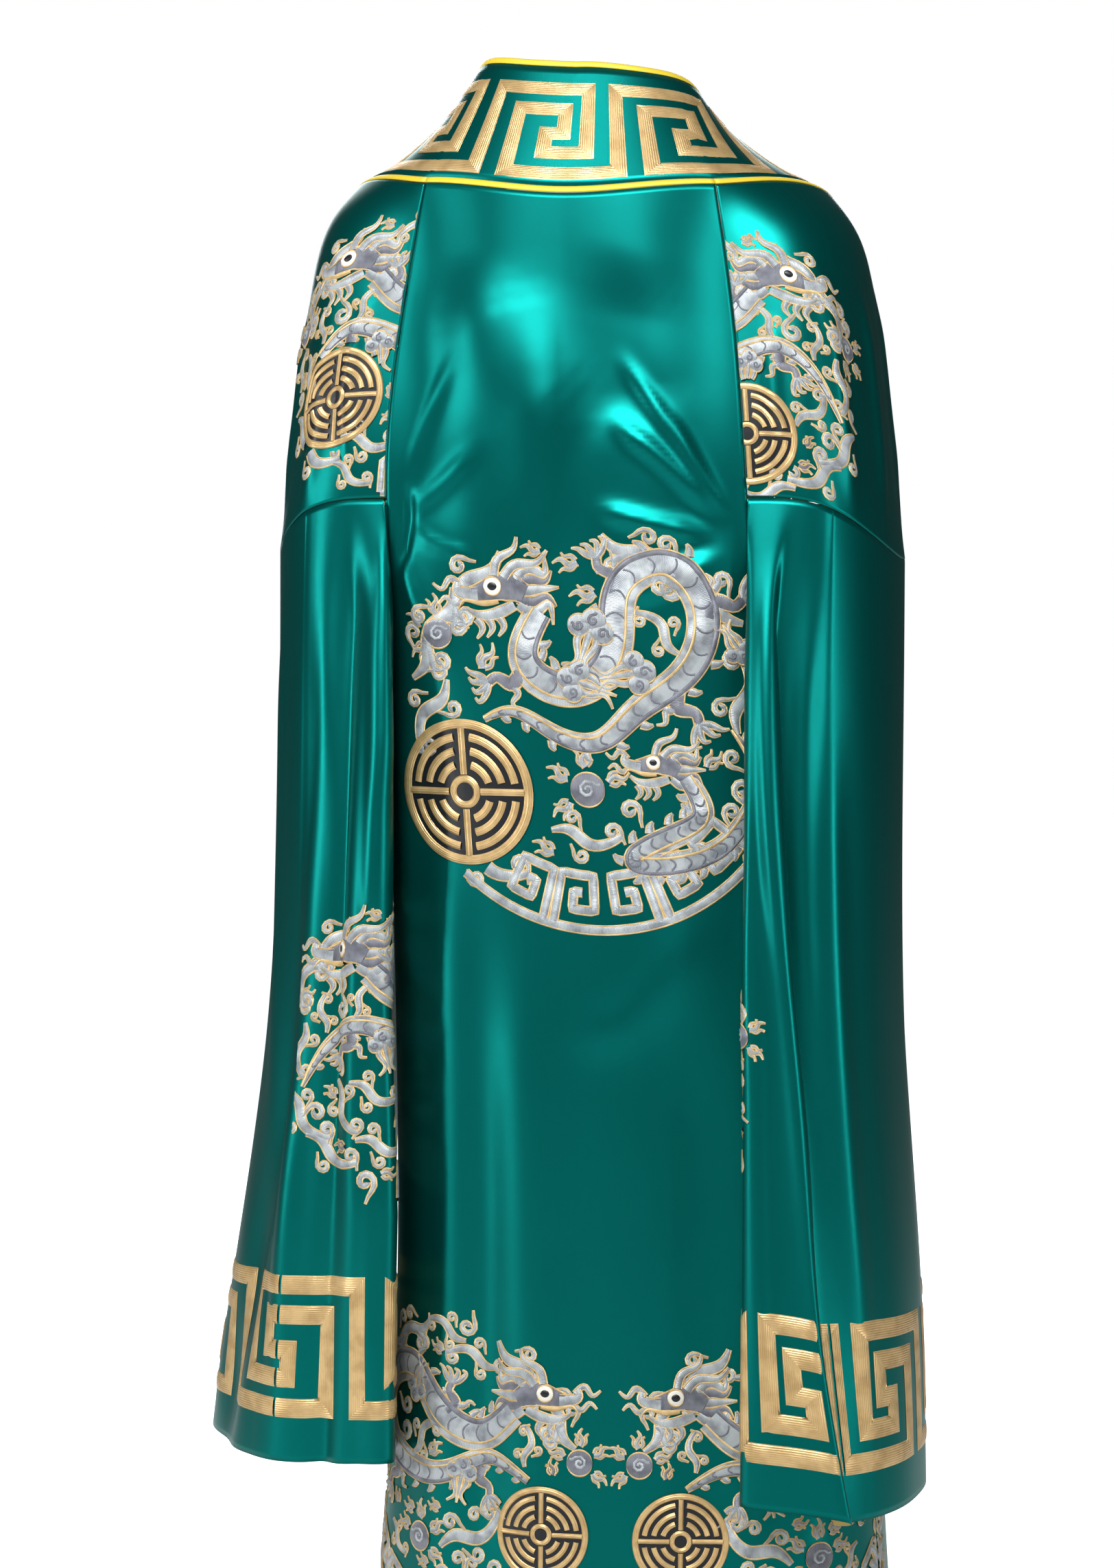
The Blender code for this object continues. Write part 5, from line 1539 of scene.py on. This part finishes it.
class Needlework:
    """Collects the raised thread of one cloth piece and lays it on the cloth."""

    def __init__(self, cloth: Cloth, cloth_map: ClothMap, hand: float, name: str = "") -> None:
        """Start the embroidery of a cloth.

        Args:
            cloth: the piece that carries it.
            cloth_map: finds places on that piece.
            hand: 1 where the distance across grows to the right as seen from outside, else -1.
            name: an ending for the object's name.
        """
        self.cloth, self.map, self.hand = cloth, cloth_map, hand
        self.name = "embroidery_" + cloth.name + name
        self.finishes: list[Finish] = []
        self.points: list[np.ndarray] = []
        self.quads: list[np.ndarray] = []
        self.slots: list[np.ndarray] = []
        self.uvs: list[np.ndarray] = []
        self.count = 0

    def ribbon(self, line: np.ndarray, half: np.ndarray, lift: float, rise: float,
               finish: Finish, sides: np.ndarray | None = None, narrow: bool = False) -> None:
        """Lay one ribbon of thread.

        Args:
            line: its middle in metres, as (across, up) places on the cloth.
            half: its half widths in metres.
            lift: height of its edges over the cloth's middle surface.
            rise: height of its crown over its edges.
            finish: its thread.
            sides: unit vectors to its side, worked out from the line if left out.
            narrow: whether it is a single cord.
        """
        across, crown = (NARROW, NARROW_CROWN) if narrow else (ACROSS, CROWN)
        if sides is None:
            sides = sideways(line)
        rows, columns = len(line), len(across)
        places = line[:, None] + sides[:, None] * (across[None, :] * half[:, None])[..., None]
        places = places.reshape(-1, 2)
        kept = self.map.inside(places[:, 0], places[:, 1])
        if not kept.any():
            return
        s, t = self.map.clamped(places[:, 0], places[:, 1])
        corner = np.arange(rows * columns).reshape(rows, columns)
        quads = np.stack([corner[:-1, :-1], corner[:-1, 1:], corner[1:, 1:], corner[1:, :-1]],
                         axis=2).reshape(-1, 4)
        quads = quads[kept[quads].any(axis=1)]
        if self.hand < 0.0:
            quads = quads[:, ::-1]
        if finish not in self.finishes:
            self.finishes.append(finish)
        run = np.concatenate([[0.0], np.cumsum(np.linalg.norm(np.diff(line, axis=0), axis=1))])
        uv = np.stack([np.repeat(run, columns), (across[None] * half[:, None]).reshape(-1)],
                      axis=1)
        self.points.append(self.map.at(s, t, np.tile(lift + rise * crown, rows)))
        self.quads.append(quads + self.count)
        self.slots.append(np.full(len(quads), self.finishes.index(finish)))
        self.uvs.append(uv[quads].reshape(-1, 2))
        self.count += rows * columns

    def motif(self, strokes: Iterable[Stroke], at: tuple[float, float], radius: float,
              mirrored: bool, step: float) -> None:
        """Lay a motif's strokes at a place on the cloth, at its real size."""
        flip = self.hand * (-1.0 if mirrored else 1.0)
        for item in strokes:
            line = item.path * np.array([flip, 1.0]) * radius + np.array(at)
            half = item.half * radius
            length = float(np.linalg.norm(np.diff(line, axis=0), axis=1).sum())
            count = min(max(int(length / step), min(len(line), LEAST_POINTS)), MOST_POINTS)
            share = np.linspace(0.0, 1.0, count)
            own = np.linspace(0.0, 1.0, len(line))
            line = np.column_stack([np.interp(share, own, line[:, k]) for k in (0, 1)])
            half = np.interp(share, own, half)
            lift = SKIN + LAYER * (item.level - 1.0)
            thin = float(half.max()) < CORD_BELOW
            if thin:
                half = np.maximum(half, CORD_HALF)
            rise = min(MOST_RISE, RISE_SHARE * float(half.max()) + LEAST_RISE)
            self.ribbon(line, half, lift, rise, item.finish, narrow=thin)
            if item.outlined:
                sides = sideways(line)
                for edge in (-1.0, 1.0):
                    beside = line + sides * (edge * half)[:, None]
                    self.ribbon(beside, np.full(count, OUTLINE_HALF), lift, OUTLINE_RISE,
                                Finish.GOLD, sides, narrow=True)

    def roundel(self, plan: RoundelPlan, at: tuple[float, float], radius: float,
                medallion: tuple[float, float, float] | None = None, mirrored: bool = False,
                step: float = 0.0036) -> None:
        """Lay a roundel and the medallion on it.

        Args:
            plan: its design.
            at: its centre on the cloth.
            radius: its radius in metres.
            medallion: the medallion's centre in the roundel's units, as seen from outside, and
                its radius in metres.
            mirrored: whether the design is turned over.
            step: the distance between points along the threads.
        """
        clear = None
        if medallion is not None:
            x, y, size = medallion
            clear = (-x if mirrored else x, y, size / radius + 0.02)
            self.medallion((at[0] + self.hand * x * radius, at[1] + y * radius), size)
        self.motif(plan.strokes(clear), at, radius, mirrored, step)

    def medallion(self, at: tuple[float, float], radius: float) -> None:
        """A round medallion: black ground, gold rings, cross bars and nested quarter arcs."""
        angles = np.linspace(0.0, math.tau, 73)
        ring = np.column_stack([np.cos(angles), np.sin(angles)])
        middle = np.array(at)
        for share in MEDALLION_GROUNDS:
            self.ribbon(ring * radius * share + middle, np.full(73, 0.25 * radius), GROUND_LIFT,
                        0.0, Finish.BLACK, ring)
        for share, half in MEDALLION_RINGS:
            self.ribbon(ring * radius * share + middle, np.full(73, half * radius), GOLD_LIFT,
                        GOLD_RISE, Finish.GOLD_BAND, ring)
        start, end, bar_half = MEDALLION_BAR
        for turn in range(4):
            heading = turn * math.pi / 2.0
            along = np.linspace(start, end, 9)[:, None] * radius
            bar = along * np.array([[math.cos(heading), math.sin(heading)]]) + middle
            self.ribbon(bar, np.full(9, bar_half * radius), GOLD_LIFT, GOLD_RISE,
                        Finish.GOLD_BAND)
            for share, gap in MEDALLION_ARCS:
                arc = np.linspace(heading + gap, heading + math.pi / 2.0 - gap, 15)
                direction = np.column_stack([np.cos(arc), np.sin(arc)])
                self.ribbon(direction * radius * share + middle,
                            np.full(15, MEDALLION_ARC_HALF * radius), GOLD_LIFT, ARC_RISE,
                            Finish.GOLD_BAND, direction)

    def meander(self, start: float, end: float, fret: Fret) -> None:
        """A running key fret between two distances across the cloth."""
        repeats = max(1, round((end - start) / fret.pitch))
        pitch = (end - start) / repeats
        scale = np.array([pitch / KEY_ACROSS, (fret.height - fret.width) / KEY_UP])
        corners = np.array([(x + KEY_ACROSS * n, y) for n in range(-1, repeats + 1)
                            for x, y in KEY_CORNERS] + [(KEY_ACROSS * (repeats + 1), 0.0)]) * scale
        corners[:, 0] = end - corners[:, 0] if fret.flipped else start + corners[:, 0]
        corners[:, 0] += fret.shift
        corners[:, 1] += fret.base + fret.width / 2.0
        run = np.diff(corners, axis=0)
        run /= np.linalg.norm(run, axis=1)[:, None]
        side = np.column_stack([-run[:, 1], run[:, 0]])
        line, sides = [], []
        for index, (a, b) in enumerate(zip(corners[:-1], corners[1:])):
            pieces = max(2, int(float(np.linalg.norm(b - a)) / FRET_STEP))
            before = side[max(index - 1, 0)]
            mitre = (before + side[index]) / (1.0 + before @ side[index])
            for number in range(pieces):
                line.append(a + (b - a) * number / pieces)
                sides.append(side[index] if number else mitre)
        line.append(corners[-1])
        sides.append(side[-1])
        self.ribbon(np.array(line), np.full(len(line), fret.width / 2.0), SKIN, FRET_RISE,
                    Finish.GOLD_BAND, np.array(sides))

    def build(self, materials: Materials) -> None:
        """Make the object and say what carries it."""
        if not self.points:
            return
        quads = np.vstack(self.quads)
        data = bpy.data.meshes.new(self.name)
        data.from_pydata(np.vstack(self.points).tolist(), [], quads.tolist())
        for finish in self.finishes:
            data.materials.append(materials.get(finish))
        data.polygons.foreach_set("material_index", np.concatenate(self.slots).astype(np.int32))
        layer = data.uv_layers.new(name="thread")
        layer.data.foreach_set("uv", np.vstack(self.uvs).astype(np.float32).ravel())
        data.shade_smooth()
        data.update()
        item = placed(self.name, data)
        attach(item, "root")
        self.cloth.trims.append(item)
        LOG.info("%s: %d quads", self.name, len(quads))


# Hem roundels: centre from the middle of the back and over the hem, radius, medallion
HEM_ROUNDELS = {
    "left": (0.165, 0.299, 0.160, (0.66, -0.29, 0.044)),
    "right": (0.172, 0.299, 0.160, (-0.64, -0.30, 0.044)),
}


# The other roundels: centre, radius and, where there is one, medallion
GREAT_ROUNDEL = ((-0.014, 0.997), 0.198, (-0.62, -0.32, 0.067))
SHOULDER_ROUNDELS = {
    "left": ((-0.004, 0.140), 0.145, (-0.40, -0.30, 0.046)),
    "right": ((-0.010, 0.118), 0.145, (0.10, -0.42, 0.046)),
}
SLEEVE_ROUNDELS = {"left": ((-0.006, 0.388), 0.152), "right": ((-0.118, 0.380), 0.152)}
# Where the key frets run: how far across, how high their band counts, where they stop
HEM_HALF_WIDTH, HEM_END = 0.33, 0.004
CUFF_ROWS, CUFF_BAND_HEIGHT = 42, 0.226
CUFF_START, CUFF_END = 0.001, 0.003
BAND_HEIGHT, BAND_END = 0.130, 0.006


class Embroiderer:
    """Lays every motif of the robe."""

    HEM_FRET = Fret(pitch=0.125, height=0.112, width=0.014, base=0.022)
    CUFF_FRETS = {
        "left": Fret(pitch=0.160, height=0.123, width=0.0165, base=0.038, shift=0.0745),
        "right": Fret(pitch=0.125, height=0.123, width=0.0165, base=0.038, flipped=True),
    }
    BAND_FRET = Fret(pitch=0.121, height=0.107, width=0.0150, base=0.006, shift=0.018,
                     flipped=True)

    def __init__(self, cloths: dict[str, Cloth], materials: Materials) -> None:
        self.cloths, self.materials = cloths, materials
        self.seams: dict[str, float] = {}

    def work(self) -> None:
        """Embroider every piece."""
        self.back()
        for hand in SIDES:
            self.front(hand)
            self.upper_sleeve(hand)
            self.lower_sleeve(hand)
        self.collar()

    def back(self) -> None:
        """The great roundel, two roundels over the hem and the hem's key fret."""
        cloth = self.cloths["back"]
        needle = Needlework(cloth, ClothMap(cloth.points, cloth.outward, 0.5), -1.0)
        needle.roundel(GREAT_PLAN, *GREAT_ROUNDEL)
        self.seams = {"left": needle.map.side(HEM_ROUNDELS["left"][1], 1.0),
                      "right": needle.map.side(HEM_ROUNDELS["right"][1], -1.0)}
        for hand, side in SIDES.items():
            across, up, radius, medallion = HEM_ROUNDELS[hand]
            needle.roundel(HEM_PLAN, (side * across, up), radius, medallion,
                           mirrored=hand == "left")
        needle.meander(-HEM_HALF_WIDTH, HEM_HALF_WIDTH, self.HEM_FRET)
        needle.build(self.materials)

    def front(self, hand: str) -> None:
        """What runs on round the side seam: the hem's roundel and its key fret."""
        cloth = self.cloths["front_" + hand]
        place = ClothMap(cloth.points, cloth.outward, 0.0)
        needle = Needlework(cloth, place, -SIDES[hand])
        across, up, radius, medallion = HEM_ROUNDELS[hand]
        needle.roundel(HEM_PLAN, (across - self.seams[hand], up), radius, medallion,
                       mirrored=hand == "left")
        needle.meander(HEM_END, float(place.high[0]) - HEM_END, self.HEM_FRET)
        needle.build(self.materials)

    def upper_sleeve(self, hand: str) -> None:
        """The shoulder roundel, which the back seam cuts."""
        cloth = self.cloths["sleeve_upper_" + hand]
        needle = Needlework(cloth, ClothMap(cloth.points, cloth.outward, 0.0), -SIDES[hand])
        needle.roundel(SMALL_PLAN, *SHOULDER_ROUNDELS[hand], mirrored=hand == "right")
        needle.build(self.materials)

    def lower_sleeve(self, hand: str) -> None:
        """The roundel on the sleeve's back edge and the key fret above the cuff."""
        cloth = self.cloths["sleeve_lower_" + hand]
        ring = cloth.points[:, :-1]
        half = ring.shape[1] // 2
        rolled = np.roll(ring, half, axis=1)
        rolled = np.concatenate([rolled, rolled[:, :1]], axis=1)
        origin = half / ring.shape[1]
        needle = Needlework(cloth, ClothMap(rolled, cloth.outward, origin), -SIDES[hand])
        needle.roundel(SMALL_PLAN, *SLEEVE_ROUNDELS[hand], mirrored=hand == "right")
        needle.build(self.materials)
        place = ClothMap(rolled[-CUFF_ROWS:], cloth.outward, origin,
                         even_height=CUFF_BAND_HEIGHT)
        needle = Needlework(cloth, place, -SIDES[hand], "_cuff")
        low, high = float(place.s[0]) + CUFF_START, float(place.s[-1]) - CUFF_END
        needle.meander(low, high, self.CUFF_FRETS[hand])
        needle.build(self.materials)

    def collar(self) -> None:
        """The key fret along the whole band, and its plain borders."""
        cloth = self.cloths["collar_band"]
        place = ClothMap(cloth.points, cloth.outward, 0.5, even_height=BAND_HEIGHT)
        needle = Needlework(cloth, place, -1.0)
        reach = float(min(-place.s[0], place.s[-1])) - BAND_END
        needle.meander(-reach, reach, self.BAND_FRET)
        needle.build(self.materials)


class Studio:
    """A plain pale floor, soft light and the camera of the photo."""

    TURN = 12.0
    TARGET_BACK = (-math.sin(math.radians(TURN)), math.cos(math.radians(TURN)), 0.0)
    DISTANCE = 3.6
    OFFSET = (0.030, 0.0065, -0.35)
    PITCH = 3.3
    LENS, SENSOR = 87.3, 36.0
    SOFT_LIGHT = 0.045
    FLOOR_HALF, FLOOR_BELOW = 14.0, 0.012
    # Lamps: place, the point each faces, width and height, power
    LAMPS = {
        "key": ((0.05, 2.9, 2.1), (0.0, 0.1, -0.30), (2.2, 1.5), 205.0),
        "left": ((2.7, 2.0, -0.2), (0.15, 0.1, -0.7), (0.28, 1.5), 34.0),
        "right": ((-2.9, 1.7, -0.4), (-0.15, 0.1, -0.8), (0.28, 1.5), 24.0),
        "front": ((0.8, -3.2, 0.8), (0.0, -0.1, -0.5), (2.2, 2.2), 90.0),
    }

    def camera(self) -> None:
        """The camera behind the robe, turned a little to its right."""
        data = bpy.data.cameras.new("camera")
        data.lens, data.sensor_width = self.LENS, self.SENSOR
        item = placed("camera", data)
        item.location = [b * self.DISTANCE + o for b, o in zip(self.TARGET_BACK, self.OFFSET)]
        item.rotation_euler = (math.radians(90.0 - self.PITCH), 0.0,
                               math.radians(180.0 + self.TURN))
        bpy.context.scene.camera = item

    def floor(self) -> None:
        """A wide pale floor under the hem."""
        mesh = bmesh.new()
        bmesh.ops.create_grid(mesh, x_segments=8, y_segments=8, size=self.FLOOR_HALF)
        bmesh.ops.translate(mesh, verts=mesh.verts, vec=(0.0, 0.0, HEM - self.FLOOR_BELOW))
        data = bpy.data.meshes.new("floor")
        mesh.to_mesh(data)
        mesh.free()
        material = bpy.data.materials.new("pale_floor")
        material.use_nodes = True
        shader = material.node_tree.nodes["Principled BSDF"]
        shader.inputs["Base Color"].default_value = (0.80, 0.80, 0.80, 1.0)
        shader.inputs["Roughness"].default_value = 0.9
        shader.inputs["Emission Color"].default_value = (1.0, 1.0, 1.0, 1.0)
        self.seen_only(material.node_tree, shader.inputs["Emission Strength"], 0.0, 1.0)
        data.materials.append(material)
        item = placed("floor", data)

    def lamp(self, name: str) -> None:
        """A soft rectangular lamp that faces a point of the robe."""
        place, faced, (width, height), power = self.LAMPS[name]
        data = bpy.data.lights.new(name, "AREA")
        data.shape = "RECTANGLE"
        data.size, data.size_y = width, height
        data.energy = power
        item = placed(name, data)
        item.location = place
        towards = Vector(faced) - Vector(place)
        item.rotation_euler = towards.to_track_quat("-Z", "Y").to_euler()

    @staticmethod
    def seen_only(tree: bpy.types.NodeTree, socket: bpy.types.NodeSocket, lights: float,
                  seen: float) -> None:
        """Give a strength one value where it is seen and another where it lights the robe."""
        rays = tree.nodes.new("ShaderNodeLightPath")
        strength = tree.nodes.new("ShaderNodeMapRange")
        strength.inputs["To Min"].default_value = lights
        strength.inputs["To Max"].default_value = seen
        tree.links.new(rays.outputs["Is Camera Ray"], strength.inputs["Value"])
        tree.links.new(strength.outputs["Result"], socket)

    def world(self) -> None:
        """A white surround that lights the robe only softly."""
        world = bpy.data.worlds.new("pale")
        world.use_nodes = True
        tree = world.node_tree
        ground = tree.nodes["Background"]
        ground.inputs["Color"].default_value = (1.0, 1.0, 1.0, 1.0)
        self.seen_only(tree, ground.inputs["Strength"], self.SOFT_LIGHT, 1.0)
        bpy.context.scene.world = world

    def build(self) -> None:
        """Set up the whole studio."""
        self.camera()
        self.floor()
        for name in self.LAMPS:
            self.lamp(name)
        self.world()
        bpy.context.scene.view_settings.view_transform = "Standard"


def main() -> None:
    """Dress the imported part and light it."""
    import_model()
    drape, materials = Drape(), Materials()
    tailor = Tailor(drape, materials)
    tailor.back()
    for hand in SIDES:
        tailor.front(hand)
        tailor.upper_sleeve(hand)
        tailor.lower_sleeve(hand)
    tailor.collar()
    LOG.info("cloth is cut")
    Embroiderer(tailor.cloths, materials).work()
    for cloth in tailor.cloths.values():
        cloth.declare()
    Studio().build()


if __name__ == "__main__":
    main()
